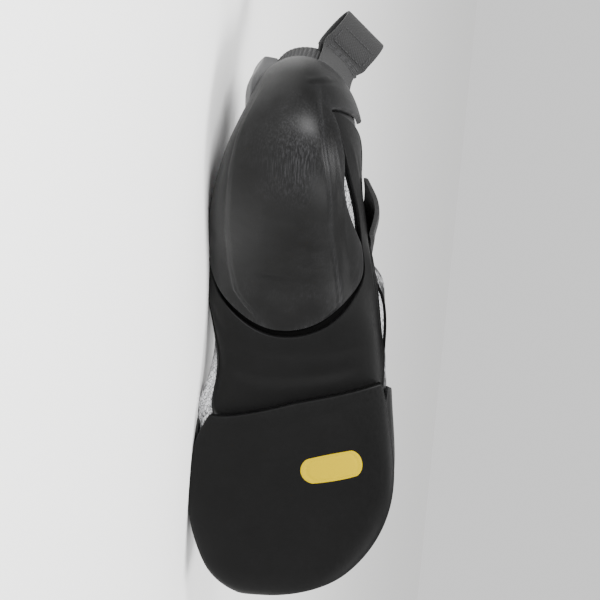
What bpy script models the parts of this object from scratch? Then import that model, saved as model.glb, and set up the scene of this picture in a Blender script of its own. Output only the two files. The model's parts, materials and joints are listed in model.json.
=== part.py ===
"""A right climbing shoe: downturned, with a tensioned sling rand, a moulded heel cup and a half outsole.

The shoe is modelled in its own frame: x runs from heel to toe, y towards the inner side and z up.
Every piece is cut from one form, the lasted upper, whose outer face is read at (station, around, height).
Station runs from the toe tip, 0, to the collar, 20. Around is 0 under the foot, 1 at the inner side,
-1 at the outer side and 2 or -2 over the instep. Height is measured outwards from the upper's outer face.
At the end the whole shoe is laid on its inner side, on the plane that carries its weight, toe to +X.
"""

import math

import bmesh
import bpy
import numpy as np
from mathutils import Matrix
from mathutils import Vector
from mathutils.bvhtree import BVHTree

# Sizes of the last, in metres, measured on the outside of the upper.
LAST_LENGTH = 0.232
BALL_WIDTH = 0.0835
HEEL_WIDTH = 0.0625
INSTEP_HEIGHT = 0.080
ARCH_RISE = 0.030
HEEL_HEIGHT = 0.060

# Thicknesses and sizes of the pieces, in metres.
UPPER_WALL = 0.0020
RAND_THICKNESS = 0.0016
OUTSOLE_THICKNESS = 0.0040
HEEL_CUP_THICKNESS = 0.0022
HEEL_STRIP_RISE = 0.0010
INSOLE_THICKNESS = 0.0020
TONGUE_THICKNESS = 0.0022
CUFF_THICKNESS = 0.0016
STRAP_WIDTH = 0.024
STRAP_END_WIDTH = 0.034
STRAP_THICKNESS = 0.0018
STRAP_LOOP_RISE = 0.0036
PULL_LOOP_HEIGHT = 0.032
PULL_LOOP_DEPTH = 0.012
PULL_LOOP_WIDTH = 0.0225
WEBBING_THICKNESS = 0.0016

# Clearances, in metres: between layers, along the seam where two rubber pieces meet edge to edge, and
# between the upper and the rubber that follows its tight curves.
FIT_GAP = 0.0003
SEAM_GAP = 0.0007
RUBBER_GAP = 0.0006

# Depth of the flat spots that the shoe's weight presses where it lies, the share of it that the rubber is
# squashed by, how far up the shoe gives way over them, and how near the floor a point counts as on it.
REST_FLAT = 0.0018
REST_SQUASH = 0.5
REST_REACH = 0.014
REST_TOUCH = 0.00001

# Fineness of the form's own grid: steps for each station and for each quarter of a section.
STATION_STEPS = 8
AROUND_STEPS = 24
QUARTER_SAMPLES = 240

# Sections of the form. The x columns are shares of LAST_LENGTH and top_z of INSTEP_HEIGHT. bottom_z is a
# share of ARCH_RISE or HEEL_HEIGHT, and inner, outer and ridge are shares of BALL_WIDTH or HEEL_WIDTH, as
# REGIONS says. widest is where the section is widest, from bottom to top. sole and crown are the squareness
# of its lower and upper half: 2 is an ellipse, more is squarer.
FOREFOOT = (
    # bottom_x, bottom_z, top_x, top_z, inner, outer, widest, sole, crown, ridge
    (0.998, 0.467, 0.998, 0.175, 0.144, -0.144, 0.42, 3.0, 2.0, 0.00),
    (0.993, 0.333, 0.993, 0.238, 0.228, -0.050, 0.42, 3.5, 2.0, 0.00),
    (0.978, 0.240, 0.983, 0.281, 0.287, 0.090, 0.40, 4.5, 2.0, 0.01),
    (0.953, 0.217, 0.963, 0.325, 0.353, 0.232, 0.37, 5.5, 2.1, 0.03),
    (0.918, 0.247, 0.931, 0.381, 0.405, 0.343, 0.35, 6.0, 2.1, 0.05),
    (0.866, 0.300, 0.879, 0.430, 0.450, 0.440, 0.34, 6.0, 2.1, 0.06),
    (0.802, 0.383, 0.810, 0.485, 0.475, 0.500, 0.34, 6.0, 2.1, 0.06),
    (0.733, 0.500, 0.733, 0.556, 0.475, 0.508, 0.34, 5.5, 2.1, 0.05),
    (0.659, 0.667, 0.647, 0.650, 0.450, 0.485, 0.35, 5.0, 2.1, 0.04),
    (0.586, 0.850, 0.560, 0.755, 0.385, 0.465, 0.36, 4.0, 2.1, 0.02),
)
WAIST = (
    (0.513, 1.000, 0.495, 0.835, 0.542, 0.600, 0.44, 3.2, 2.9, 0.01),
    (0.431, 0.967, 0.470, 0.880, 0.592, 0.575, 0.56, 2.6, 3.0, 0.00),
    (0.345, 0.783, 0.455, 0.910, 0.570, 0.510, 0.54, 2.4, 2.8, 0.00),
    (0.259, 0.500, 0.443, 0.935, 0.560, 0.450, 0.54, 2.4, 2.7, 0.00),
    (0.181, 0.267, 0.433, 0.955, 0.515, 0.432, 0.44, 2.5, 2.4, 0.00),
    (0.112, 0.167, 0.424, 0.972, 0.465, 0.412, 0.38, 2.4, 2.1, 0.00),
)
HEEL = (
    (0.056, 0.145, 0.416, 0.986, 0.415, 0.400, 0.38, 2.3, 2.1, 0.00),
    (0.022, 0.306, 0.408, 0.998, 0.375, 0.390, 0.40, 2.1, 2.1, 0.00),
    (0.006, 0.516, 0.401, 1.008, 0.345, 0.378, 0.42, 2.1, 2.1, 0.00),
    (0.011, 0.758, 0.394, 1.017, 0.350, 0.362, 0.45, 2.1, 2.1, 0.00),
    (0.026, 1.000, 0.386, 1.025, 0.365, 0.350, 0.48, 2.1, 2.1, 0.00),
    (0.035, 1.280, 0.362, 1.120, 0.375, 0.355, 0.49, 2.1, 2.1, 0.00),
)
REGIONS = (
    # sections, width, rise
    (FOREFOOT, BALL_WIDTH, ARCH_RISE),
    (WAIST, HEEL_WIDTH, ARCH_RISE),
    (HEEL, HEEL_WIDTH, HEEL_HEIGHT),
)
COLLAR = 20.0

# The upper: columns on each side, the throat's slot and the opening under the forefoot.
UPPER_STATIONS = (
    0.0, 0.35, 0.8, 1.3, 1.9, 2.5, 3.1, 3.8, 4.5, 5.3, 6.1, 6.9, 7.7, 8.4, 9.0, 9.7, 10.4, 11.0,
    11.6, 12.2, 12.8, 13.4, 14.0, 14.7, 15.4, 16.1, 16.8, 17.4, 18.0, 18.6, 19.3, COLLAR,
)
UPPER_COLUMNS = 7
SOLE_OPENING_COLUMN = 3
SOLE_OPENING_START = 3.8
SOLE_OPENING_END = 9.0
THROAT_START = 7.7
THROAT_HALF_WIDTH = (
    # station, half width as a share of the quarter
    (THROAT_START, 0.14),
    (10.0, 0.22),
    (14.0, 0.30),
    (COLLAR, 0.38),
)

# The insole board's ends, its columns that lie under the upper's own and its half width.
INSOLE_START = 1.6
INSOLE_END = 15.4
INSOLE_COLUMNS = 3
INSOLE_REACH = 0.48

# The tongue starts in front of the throat, reaches past its edges and stands above the collar.
TONGUE_START = 7.2
TONGUE_TOPS = (20.45, 20.9)
TONGUE_OVERLAP = 0.22
TONGUE_COLUMNS = 8

# The ribbed cuff starts inside the heel and stands above the collar.
CUFF_START = 18.0
CUFF_TOPS = (20.5, 20.95)
CUFF_REACH = 1.32
CUFF_COLUMNS = 22

# Rear edge of the toe cap: far back at the sides and under the foot, short over the toes.
TOE_CAP_EDGE = (
    # around, station
    (-2.0, 4.7),
    (-1.6, 5.2),
    (-1.3, 6.8),
    (-1.05, 8.4),
    (-0.85, 8.7),
    (-0.7, 8.4),
    (-0.5, 7.9),
    (-0.2, 7.6),
    (0.3, 7.4),
    (0.6, 7.4),
    (0.85, 7.7),
    (1.1, 7.3),
    (1.35, 6.2),
    (1.6, 5.2),
    (2.0, 4.7),
)
TOE_CAP_ROWS = 12

# The outsole ends where the form has turned by SOLE_TURN away from the tread, or sooner at its two rear
# corners, and its edge leans out by SOLE_FLARE. Its rear edge sweeps from the outer side forward to the
# inner side.
SOLE_TURN = math.radians(58.0)
SOLE_FLARE = math.radians(24.0)
SOLE_CORNERS = (
    # station, inner around, outer around
    (5.6, 1.00, 1.00),
    (6.4, 0.66, 0.80),
    (7.2, 0.56, 0.75),
    (7.7, 0.48, 0.70),
    (8.2, 0.41, 0.65),
    (8.7, 0.38, 0.59),
    (9.1, 0.36, 0.52),
)
SOLE_REAR_MIDDLE = 8.45
SOLE_REAR_SWEEP = 0.47
SOLE_ROWS = 18
SOLE_COLUMNS = 12
SOLE_ROWS_CROWDING = 1.7
TREAD_STATION = 6.0
TREAD_FIRST_STATION = 3.5
TREAD_TIP_STATION = 0.2
SOLE_SEARCH_END = 1.2
SOLE_SAMPLES = 200

# The seam between heel cup and sling, from the outer heel under the arch to the inner heel, and the
# sling's far edge in the same rows. Its front edge lies under the outsole.
SLING = (
    # seam_station, seam_around, far_station, far_around
    (16.90, -0.42, 17.70, -1.00),
    (16.50, -0.48, 17.10, -1.15),
    (15.80, -0.57, 16.20, -1.25),
    (15.00, -0.67, 15.20, -1.28),
    (14.20, -0.74, 14.20, -1.22),
    (13.40, -0.76, 13.20, -1.06),
    (12.60, -0.71, 12.20, -0.86),
    (11.80, -0.60, 11.20, -0.72),
    (11.20, -0.44, 10.10, -0.69),
    (10.65, -0.27, 9.10, -0.72),
    (10.25, -0.12, 8.35, -0.48),
    (10.03, 0.03, 8.00, -0.12),
    (10.10, 0.18, 7.85, 0.18),
    (10.40, 0.33, 7.95, 0.42),
    (10.85, 0.50, 8.80, 0.62),
    (11.50, 0.67, 9.80, 0.82),
    (12.20, 0.80, 11.00, 0.86),
    (13.00, 0.86, 12.40, 0.92),
    (14.00, 0.90, 13.60, 1.02),
    (15.00, 0.92, 14.80, 1.10),
    (16.00, 0.90, 15.90, 1.14),
)
SLING_ROWS = 42
SLING_COLUMNS = 6
SLING_SKIVE = 0.6
SEAM_SAMPLES = 400

# The heel cup: its side edges above the seam's ends, its arched top, the window that leaves the upper bare
# at the outer side, and the raised strip down its middle.
CUP_SIDES = (
    # station, outer around, inner around
    (17.05, -0.45, 0.70),
    (17.35, -0.63, 0.66),
    (17.80, -0.80, 0.62),
    (18.30, -0.98, 0.60),
    (19.40, -1.05, 0.58),
)
CUP_TOP = 19.30
CUP_TOP_FALL = 0.75
CUP_ROWS = 28
CUP_ROWS_CROWDING = 0.6
CUP_COLUMNS = 18
WINDOW_START = 12.8
WINDOW_END = 15.5
WINDOW_DEPTH = 0.14
STRIP_MIDDLE = 0.05
STRIP_HALF_WIDTH = 0.40
STRIP_SOFTNESS = 0.06
STRIP_START = 10.3
STRIP_END = 17.6

# The closure strap runs from the inner side, around 1.4, over the instep, 2, to the outer ankle, 3.04,
# where it lies on the sling and its end is arched across its width, open towards the sole.
STRAP_START = 1.40
STRAP_END = 3.04
STRAP_LOOP_START = 2.58
STRAP_RAMP_START = 2.30
STRAP_RAMP = 0.2
STRAP_ROWS = 24
STRAP_COLUMNS = 6
STRAP_LOOP_SKEW = 1.4
STRAP_SAMPLES = 120
STRAP_FRONT = (
    # around, station of the strap's front edge
    (STRAP_START, 10.3),
    (1.70, 9.9),
    (2.00, 9.8),
    (2.40, 11.3),
    (2.90, 13.2),
    (STRAP_END, 13.4),
)

# The pull loop straddles the collar between two places around it and stands up along PULL_LOOP_LEAN.
PULL_LOOP_SIDE = (-0.63, -0.20)
PULL_LOOP_COLUMNS = 4
PULL_LOOP_TURNS = 14
PULL_LOOP_LEAN = (-0.15, -0.31, 0.94)
PULL_LOOP_FOOT = 19.5
PULL_LOOP_REACH = 21.0
PULL_LOOP_CLEARANCE = 0.0013
PULL_LOOP_TURN = math.radians(68.0)
PULL_LOOP_BEND = 0.38


def natural_spline(values, places):
    """Natural cubic spline through the rows of values, which stand at 0, 1, 2 and so on, read at places."""
    count = len(values)
    system = np.eye(count)
    right = np.zeros_like(values)
    for row in range(1, count - 1):
        system[row, row - 1:row + 2] = (1.0, 4.0, 1.0)
        right[row] = 6.0 * (values[row - 1] - 2.0 * values[row] + values[row + 1])
    bends = np.linalg.solve(system, right)
    low = np.clip(np.floor(places).astype(int), 0, count - 2)
    after = (places - low)[:, None]
    before = 1.0 - after
    straight = before * values[low] + after * values[low + 1]
    curved = (before ** 3 - before) * bends[low] + (after ** 3 - after) * bends[low + 1]
    return straight + curved / 6.0


def section_table():
    """Every section in metres, a row each, from the toe tip to above the collar."""
    rows = []
    for sections, width, rise in REGIONS:
        for bottom_x, bottom_z, top_x, top_z, inner, outer, widest, sole, crown, ridge in sections:
            rows.append((
                bottom_x * LAST_LENGTH, bottom_z * rise, top_x * LAST_LENGTH, top_z * INSTEP_HEIGHT,
                inner * width, outer * width, widest, sole, crown, ridge * width,
            ))
    return np.array(rows)


def quarter(squareness, width, height):
    """Across and away distances along a quarter of a section, from its rail to its widest point.

    The steps share out length and turning evenly, so a tight corner gets as many as a long flat.
    """
    turn = np.linspace(0.0, math.pi / 2.0, QUARTER_SAMPLES)
    reach = (np.sin(turn) ** squareness + np.cos(turn) ** squareness) ** (-1.0 / squareness)
    across = width * reach * np.sin(turn)
    away = height * reach * np.cos(turn)
    step_across = np.diff(across)
    step_away = -np.diff(away)
    length = np.cumsum(np.hypot(step_across, step_away))
    heading = np.arctan2(step_away, step_across)
    share = 0.5 * length / length[-1] + 0.5 * heading / heading[-1]
    share = np.concatenate(([0.0], np.maximum.accumulate(share)))
    wanted = np.linspace(0.0, 1.0, AROUND_STEPS + 1)
    return np.interp(wanted, share, across), np.interp(wanted, share, away)


def form_grid():
    """Points and outward normals of the upper's outer face, a row for each step of station."""
    table = section_table()
    last_station = len(table) - 1
    places = np.linspace(0.0, last_station, last_station * STATION_STEPS + 1)
    smallest = FIT_GAP
    points = []
    for row in natural_spline(table, places):
        bottom_x, bottom_z, top_x, top_z, inner, outer, widest, sole, crown, ridge = row
        bottom = np.array((bottom_x, 0.0, bottom_z))
        chord = np.array((top_x, 0.0, top_z)) - bottom
        height = max(np.linalg.norm(chord), smallest)
        away_direction = chord / height
        half_width = max(0.5 * (inner + outer), smallest)
        middle = 0.5 * (inner - outer)
        under_across, under_away = quarter(sole, half_width, widest * height)
        over_across, over_away = quarter(crown, half_width, (1.0 - widest) * height)
        across = np.concatenate((under_across, over_across[-2::-1]))
        away = np.concatenate((-under_away, over_away[-2::-1]))
        lean = ridge * (np.maximum(away, 0.0) / ((1.0 - widest) * height)) ** 2
        across = np.concatenate((-across[:0:-1], across)) + middle
        away = np.concatenate((away[:0:-1], away))
        lean = np.concatenate((lean[:0:-1], lean))
        ring = bottom + (widest * height + away)[:, None] * away_direction
        ring[:, 1] += across + lean
        points.append(ring)
    points = np.array(points)
    along = np.gradient(points, axis=0)
    open_ring = points[:, :-1]
    around = np.roll(open_ring, -1, axis=1) - np.roll(open_ring, 1, axis=1)
    around = np.concatenate((around, around[:, :1]), axis=1)
    normals = np.cross(along, around)
    normals[0] = points[0].mean(axis=0) - points[2].mean(axis=0)
    normals /= np.linalg.norm(normals, axis=2, keepdims=True)
    return points, normals


FORM_POINTS, FORM_NORMALS = form_grid()


def read_grid(grid, station, around):
    """Values of a form grid between its own points."""
    rows, columns = grid.shape[:2]
    row = np.clip(station * STATION_STEPS, 0.0, rows - 1.001)
    column = np.mod(around + 2.0, 4.0) * AROUND_STEPS
    low_row = np.floor(row).astype(int)
    low_column = np.clip(np.floor(column).astype(int), 0, columns - 2)
    down = (row - low_row)[..., None]
    right = (column - low_column)[..., None]
    upper_side = (1.0 - right) * grid[low_row, low_column] + right * grid[low_row, low_column + 1]
    lower_side = (1.0 - right) * grid[low_row + 1, low_column] + right * grid[low_row + 1, low_column + 1]
    return (1.0 - down) * upper_side + down * lower_side


def normal_at(station, around):
    """Outward unit normals of the form."""
    station, around = np.broadcast_arrays(np.asarray(station, float), np.asarray(around, float))
    normals = read_grid(FORM_NORMALS, station, around)
    return normals / np.linalg.norm(normals, axis=-1, keepdims=True)


def at(station, around, height=0.0):
    """Points at a height over the upper's outer face."""
    station, around, height = np.broadcast_arrays(
        np.asarray(station, float), np.asarray(around, float), np.asarray(height, float))
    return read_grid(FORM_POINTS, station, around) + height[..., None] * normal_at(station, around)


def smooth_step(value):
    """0 below 0, 1 above 1, and an even curve between."""
    value = np.clip(value, 0.0, 1.0)
    return value * value * (3.0 - 2.0 * value)


def column_of(table, place, column=1):
    """A column of a short table, read between its rows at places of the first column."""
    rows = np.array(table)
    return np.interp(place, rows[:, 0], rows[:, column])


def material(name, colour, roughness):
    """A plain material for one piece."""
    made = bpy.data.materials.new(name)
    made.use_nodes = True
    shader = made.node_tree.nodes["Principled BSDF"]
    shader.inputs["Base Color"].default_value = (*colour, 1.0)
    shader.inputs["Roughness"].default_value = roughness
    shader.inputs["Metallic"].default_value = 0.0
    made.diffuse_color = (*colour, 1.0)
    return made


def wall_faces(index, keep):
    """Faces of a grid's kept cells; neighbouring corners that share an index are taken once."""
    faces = []
    for row in range(index.shape[0] - 1):
        for column in range(index.shape[1] - 1):
            if keep is not None and not keep[row, column]:
                continue
            corners = (
                index[row, column], index[row + 1, column],
                index[row + 1, column + 1], index[row, column + 1],
            )
            face = [int(corner) for place, corner in enumerate(corners) if corner != corners[place - 1]]
            if len(face) > 2:
                faces.append(face)
    return faces


def sheet(name, finish, outer, inner, keep=None, closed=False, tip=False):
    """One solid between two grids of points.

    keep marks the cells that are solid, closed joins the last column to the first, and tip draws the first
    row together into one point.
    """
    rows, columns = outer.shape[:2]
    index = np.arange(rows * columns).reshape(rows, columns)
    if tip:
        index[0] = index[0, 0]
    if closed:
        index = np.concatenate((index, index[:, :1]), axis=1)
    faces = wall_faces(index, keep)
    count = rows * columns
    edges = {}
    for face in faces:
        for place, corner in enumerate(face):
            edges[(face[place - 1], corner)] = True
    solid_faces = list(faces)
    for face in faces:
        solid_faces.append([corner + count for corner in reversed(face)])
    for first, second in edges:
        if (second, first) not in edges:
            solid_faces.append([second, first, first + count, second + count])
    points = np.concatenate((outer.reshape(-1, 3), inner.reshape(-1, 3)))
    return body(name, finish, points, solid_faces)


def body(name, finish, points, faces):
    """A closed mesh object with its faces pointing out."""
    used = sorted({corner for face in faces for corner in face})
    renumbered = {corner: place for place, corner in enumerate(used)}
    mesh = bpy.data.meshes.new(name)
    mesh.from_pydata(
        [tuple(points[corner]) for corner in used], [],
        [[renumbered[corner] for corner in face] for face in faces])
    shape = bmesh.new()
    shape.from_mesh(mesh)
    bmesh.ops.triangulate(shape, faces=shape.faces[:])
    if shape.calc_volume(signed=True) < 0.0:
        bmesh.ops.reverse_faces(shape, faces=shape.faces[:])
    shape.to_mesh(mesh)
    shape.free()
    mesh.materials.append(finish)
    mesh.shade_smooth()
    mesh.set_sharp_from_angle(angle=math.radians(40.0))
    made = bpy.data.objects.new(name, mesh)
    bpy.context.scene.collection.objects.link(made)
    return made


def thickened(middle, thickness):
    """Two grids half a thickness to each side of a grid of points."""
    along = np.gradient(middle, axis=0)
    across = np.gradient(middle, axis=1)
    normals = np.cross(along, across)
    normals /= np.linalg.norm(normals, axis=2, keepdims=True)
    return middle + 0.5 * thickness * normals, middle - 0.5 * thickness * normals


def throat_edge(station):
    """How far from the instep's middle line the throat's edge lies, in around."""
    return column_of(THROAT_HALF_WIDTH, station)


def make_upper():
    """The lasted upper: one wall from the toe tip to the collar, open at the throat and under the forefoot."""
    stations = np.array(UPPER_STATIONS)
    lower = np.arange(UPPER_COLUMNS + 1) / UPPER_COLUMNS
    rows = []
    for station in stations:
        edge = 1.0 - throat_edge(station)
        side = np.concatenate((lower, 1.0 + edge * lower[1:]))
        rows.append(np.concatenate((-side[:0:-1], side, [2.0])))
    around = np.array(rows)
    keep = np.ones((len(stations) - 1, around.shape[1]), bool)
    middle = 2 * UPPER_COLUMNS
    over_throat = stations[:-1] >= THROAT_START
    under_forefoot = (stations[:-1] >= SOLE_OPENING_START) & (stations[:-1] < SOLE_OPENING_END)
    keep[over_throat, -2:] = False
    keep[under_forefoot, middle - SOLE_OPENING_COLUMN:middle + SOLE_OPENING_COLUMN] = False
    station = stations[:, None] + 0.0 * around
    finish = material("printed_synthetic", (0.42, 0.42, 0.43), 0.45)
    return sheet("upper", finish, at(station, around), at(station, around, -UPPER_WALL), keep, True, True)


def stations_between(first, last):
    """The upper's own stations between two others and those two, so that layers share their rows."""
    middle = [station for station in UPPER_STATIONS if first < station < last]
    return np.array([first, *middle, last])


def make_insole():
    """The insole board inside, from the toes to the heel."""
    stations = stations_between(INSOLE_START, INSOLE_END)[:, None]
    inner_columns = np.arange(1, INSOLE_COLUMNS + 1) / UPPER_COLUMNS
    half = np.concatenate((inner_columns, [INSOLE_REACH]))
    around = np.concatenate((-half[::-1], [0.0], half))[None, :]
    height = -UPPER_WALL - FIT_GAP
    finish = material("insole_board", (0.55, 0.50, 0.42), 0.85)
    return sheet("insole", finish, at(stations, around, height), at(stations, around, height - INSOLE_THICKNESS))


def make_tongue():
    """The tongue under the throat, from the toes' end of the slot to above the collar."""
    stations = stations_between(TONGUE_START, COLLAR)
    stations = np.append(stations, TONGUE_TOPS)
    half = TONGUE_OVERLAP + throat_edge(stations)
    around = 2.0 + half[:, None] * np.linspace(-1.0, 1.0, TONGUE_COLUMNS + 1)[None, :]
    height = -UPPER_WALL - FIT_GAP
    station = stations[:, None] + 0.0 * around
    finish = material("tongue_fabric", (0.05, 0.05, 0.055), 0.9)
    return sheet("tongue", finish, at(station, around, height), at(station, around, height - TONGUE_THICKNESS))


def make_collar_cuff():
    """The ribbed cuff inside the collar, round the heel from one side of the tongue to the other."""
    stations = stations_between(CUFF_START, COLLAR)
    stations = np.append(stations, CUFF_TOPS)[:, None]
    around = np.linspace(-CUFF_REACH, CUFF_REACH, CUFF_COLUMNS + 1)[None, :]
    height = -UPPER_WALL - FIT_GAP
    finish = material("ribbed_knit", (0.03, 0.03, 0.032), 0.95)
    return sheet(
        "collar_cuff", finish, at(stations, around, height), at(stations, around, height - CUFF_THICKNESS))


def make_toe_cap():
    """The moulded toe rand and cap, one piece from the toe tip back under the ball."""
    side = np.arange(UPPER_COLUMNS + 1) / UPPER_COLUMNS
    half = np.concatenate((side, 1.0 + side[1:]))
    around = np.concatenate((-half[-2:0:-1], half))[None, :]
    rear = column_of(TOE_CAP_EDGE, around)
    share = np.linspace(0.0, 1.0, TOE_CAP_ROWS + 1)[:, None]
    station = rear * share
    finish = material("moulded_toe_rubber", (0.035, 0.035, 0.037), 0.5)
    return sheet(
        "toe_cap", finish, at(station, around, RUBBER_GAP + RAND_THICKNESS), at(station, around, RUBBER_GAP),
        None, True, True)


def sole_edge(station, side):
    """Around value on one side where the form has turned by SOLE_TURN from the tread."""
    tread = normal_at(TREAD_STATION, 0.0)
    around = np.linspace(0.0, SOLE_SEARCH_END, SOLE_SAMPLES)
    edges = []
    for place in station:
        facing = normal_at(place, side * around) @ tread
        passed = np.nonzero(facing < math.cos(SOLE_TURN))[0]
        last = max(int(passed[0]), 1)
        share = (facing[last - 1] - math.cos(SOLE_TURN)) / (facing[last - 1] - facing[last])
        edges.append(max(around[last - 1] + share * (around[last] - around[last - 1]), 0.0))
    corner = column_of(SOLE_CORNERS, station, 1 if side > 0.0 else 2)
    return side * np.minimum(edges, corner)


def sole_front():
    """Station under the toe tip where the form has turned by SOLE_TURN from the tread."""
    tread = normal_at(TREAD_STATION, 0.0)
    stations = np.linspace(TREAD_FIRST_STATION, TREAD_TIP_STATION, SOLE_SAMPLES)
    facing = normal_at(stations, 0.0) @ tread
    return stations[np.nonzero(facing < math.cos(SOLE_TURN))[0][0]]


def sole_direction(station, around):
    """Directions through the outsole's thickness: the form's normals, held within SOLE_FLARE of the tread."""
    normals = normal_at(station, around)
    tread = normal_at(np.maximum(station, TREAD_FIRST_STATION), 0.0)
    facing = np.sum(normals * tread, axis=-1, keepdims=True)
    sideways = normals - facing * tread
    sideways /= np.maximum(np.linalg.norm(sideways, axis=-1, keepdims=True), 1e-9)
    held = math.cos(SOLE_FLARE) * tread + math.sin(SOLE_FLARE) * sideways
    return np.where(facing < math.cos(SOLE_FLARE), held, normals)


def outsole_places():
    """Station and around of the outsole's points, a row each from the toe tip to the rear edge."""
    front = sole_front()
    share = np.linspace(0.0, 1.0, SOLE_ROWS + 1)[:, None] ** SOLE_ROWS_CROWDING
    across = np.linspace(-1.0, 1.0, SOLE_COLUMNS + 1)[None, :]
    rear = SOLE_REAR_MIDDLE - SOLE_REAR_SWEEP * np.sin(0.5 * math.pi * across)
    station = front + (rear - front) * share
    outer_edge = sole_edge(station[:, 0], -1.0)[:, None]
    inner_edge = sole_edge(station[:, -1], 1.0)[:, None]
    around = np.where(across < 0.0, -across * outer_edge, across * inner_edge)
    return station, around


def make_front_outsole():
    """The half outsole: a flat-edged rubber sheet under toes and ball."""
    station, around = outsole_places()
    seat = at(station, around, RUBBER_GAP + RAND_THICKNESS + FIT_GAP)
    tread = seat + OUTSOLE_THICKNESS * sole_direction(station, around)
    finish = material("outsole_rubber", (0.018, 0.018, 0.019), 0.55)
    return sheet("front_outsole", finish, tread, seat, None, False, True)


def sling_rows(count):
    """Seam and far edge of the sling, count rows from the outer heel under the arch to the inner heel."""
    table = np.array(SLING)
    return natural_spline(table, np.linspace(0.0, len(SLING) - 1.0, count))


def make_sling_rand():
    """The tensioned band from under the ball, across the arch and up both sides of the heel."""
    seam_station, seam_around, far_station, far_around = sling_rows(SLING_ROWS + 1).T[:, :, None]
    share = np.linspace(0.0, 1.0, SLING_COLUMNS + 1)[None, :]
    station = seam_station + (far_station - seam_station) * share
    around = seam_around + (far_around - seam_around) * share
    thickness = RAND_THICKNESS * (1.0 - SLING_SKIVE * smooth_step(2.0 * share - 1.0))
    finish = material("sling_rubber", (0.022, 0.022, 0.024), 0.55)
    return sheet(
        "sling_rand", finish, at(station, around, RUBBER_GAP + thickness), at(station, around, RUBBER_GAP))


def cup_edges(station):
    """Outer and inner around of the heel cup's edges: along the seam, then along its own sides."""
    seam = sling_rows(SEAM_SAMPLES)
    lowest = int(np.argmin(seam[:, 0]))
    outer_rows = [(row[0], row[1]) for row in seam[lowest::-1]]
    inner_rows = [(row[0], row[1]) for row in seam[lowest:]]
    outer_rows += [(row[0], row[1]) for row in CUP_SIDES]
    inner_rows += [(row[0], row[2]) for row in CUP_SIDES]
    gap = SEAM_GAP / HEEL_WIDTH
    window = np.clip((station - WINDOW_START) / (WINDOW_END - WINDOW_START), 0.0, 1.0)
    outer = column_of(outer_rows, station) + gap + WINDOW_DEPTH * np.sin(math.pi * window) ** 2
    inner = column_of(inner_rows, station) - gap
    return outer, inner


def cup_places():
    """Station and around of the heel cup's points, from the arch to its top."""
    front = float(sling_rows(SEAM_SAMPLES)[:, 0].min()) + 2.0 * SEAM_GAP * COLLAR / LAST_LENGTH
    share = np.linspace(0.0, 1.0, CUP_ROWS + 1)[:, None]
    share = share ** (1.0 + CUP_ROWS_CROWDING * (1.0 - share))
    across = np.linspace(-1.0, 1.0, CUP_COLUMNS + 1)[None, :]
    top = CUP_TOP - CUP_TOP_FALL * across ** 2
    station = front + (top - front) * share
    outer, inner = cup_edges(station)
    around = np.where(across < 0.0, -across * outer, across * inner)
    return station, around


def cup_height(station, around):
    """Height of the heel cup's outer face: a raised strip down the middle, thin at the sides."""
    side = np.abs(around - STRIP_MIDDLE)
    strip = 1.0 - smooth_step((side - STRIP_HALF_WIDTH) / STRIP_SOFTNESS)
    fade = smooth_step(station - STRIP_START) * (1.0 - smooth_step(station - STRIP_END))
    return RUBBER_GAP + HEEL_CUP_THICKNESS + HEEL_STRIP_RISE * strip * fade


def make_heel_cup():
    """The moulded heel cup inside the sling's seam, with its wing at the outer side."""
    station, around = cup_places()
    finish = material("moulded_heel_rubber", (0.025, 0.025, 0.027), 0.5)
    outer = at(station, around, cup_height(station, around))
    return sheet("heel_cup", finish, outer, at(station, around, RUBBER_GAP), None, False, True)


def strap_places():
    """Station, around and opening of the strap's points, rows along it and columns across it."""
    share = np.linspace(0.0, 1.0, STRAP_ROWS + 1)
    run = STRAP_START + (STRAP_END - STRAP_START) * share
    front = column_of(STRAP_FRONT, run)
    opened = smooth_step((run - STRAP_LOOP_START) / (STRAP_END - STRAP_LOOP_START))
    widths = STRAP_WIDTH + (STRAP_END_WIDTH - STRAP_WIDTH) * opened
    rows = []
    for around, station, width in zip(run, front, widths):
        places = np.linspace(station, COLLAR, STRAP_SAMPLES)
        points = at(places, around)
        lengths = np.concatenate(([0.0], np.cumsum(np.linalg.norm(np.diff(points, axis=0), axis=1))))
        rows.append(np.interp(np.linspace(0.0, width, STRAP_COLUMNS + 1), lengths, places))
    return np.array(rows), run[:, None] + 0.0 * np.array(rows), opened[:, None]


def make_closure_strap():
    """The closure strap over the instep, its open end arched at the outer ankle."""
    station, around, opened = strap_places()
    over_sling = (RUBBER_GAP + RAND_THICKNESS) * smooth_step((around - STRAP_RAMP_START) / STRAP_RAMP)
    arch = np.sin(math.pi * np.linspace(0.0, 1.0, STRAP_COLUMNS + 1) ** STRAP_LOOP_SKEW)
    height = 2.0 * FIT_GAP + over_sling + STRAP_LOOP_RISE * opened * arch
    finish = material("strap_webbing", (0.02, 0.02, 0.021), 0.8)
    return sheet(
        "closure_strap", finish, at(station, around, height + STRAP_THICKNESS), at(station, around, height))


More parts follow.
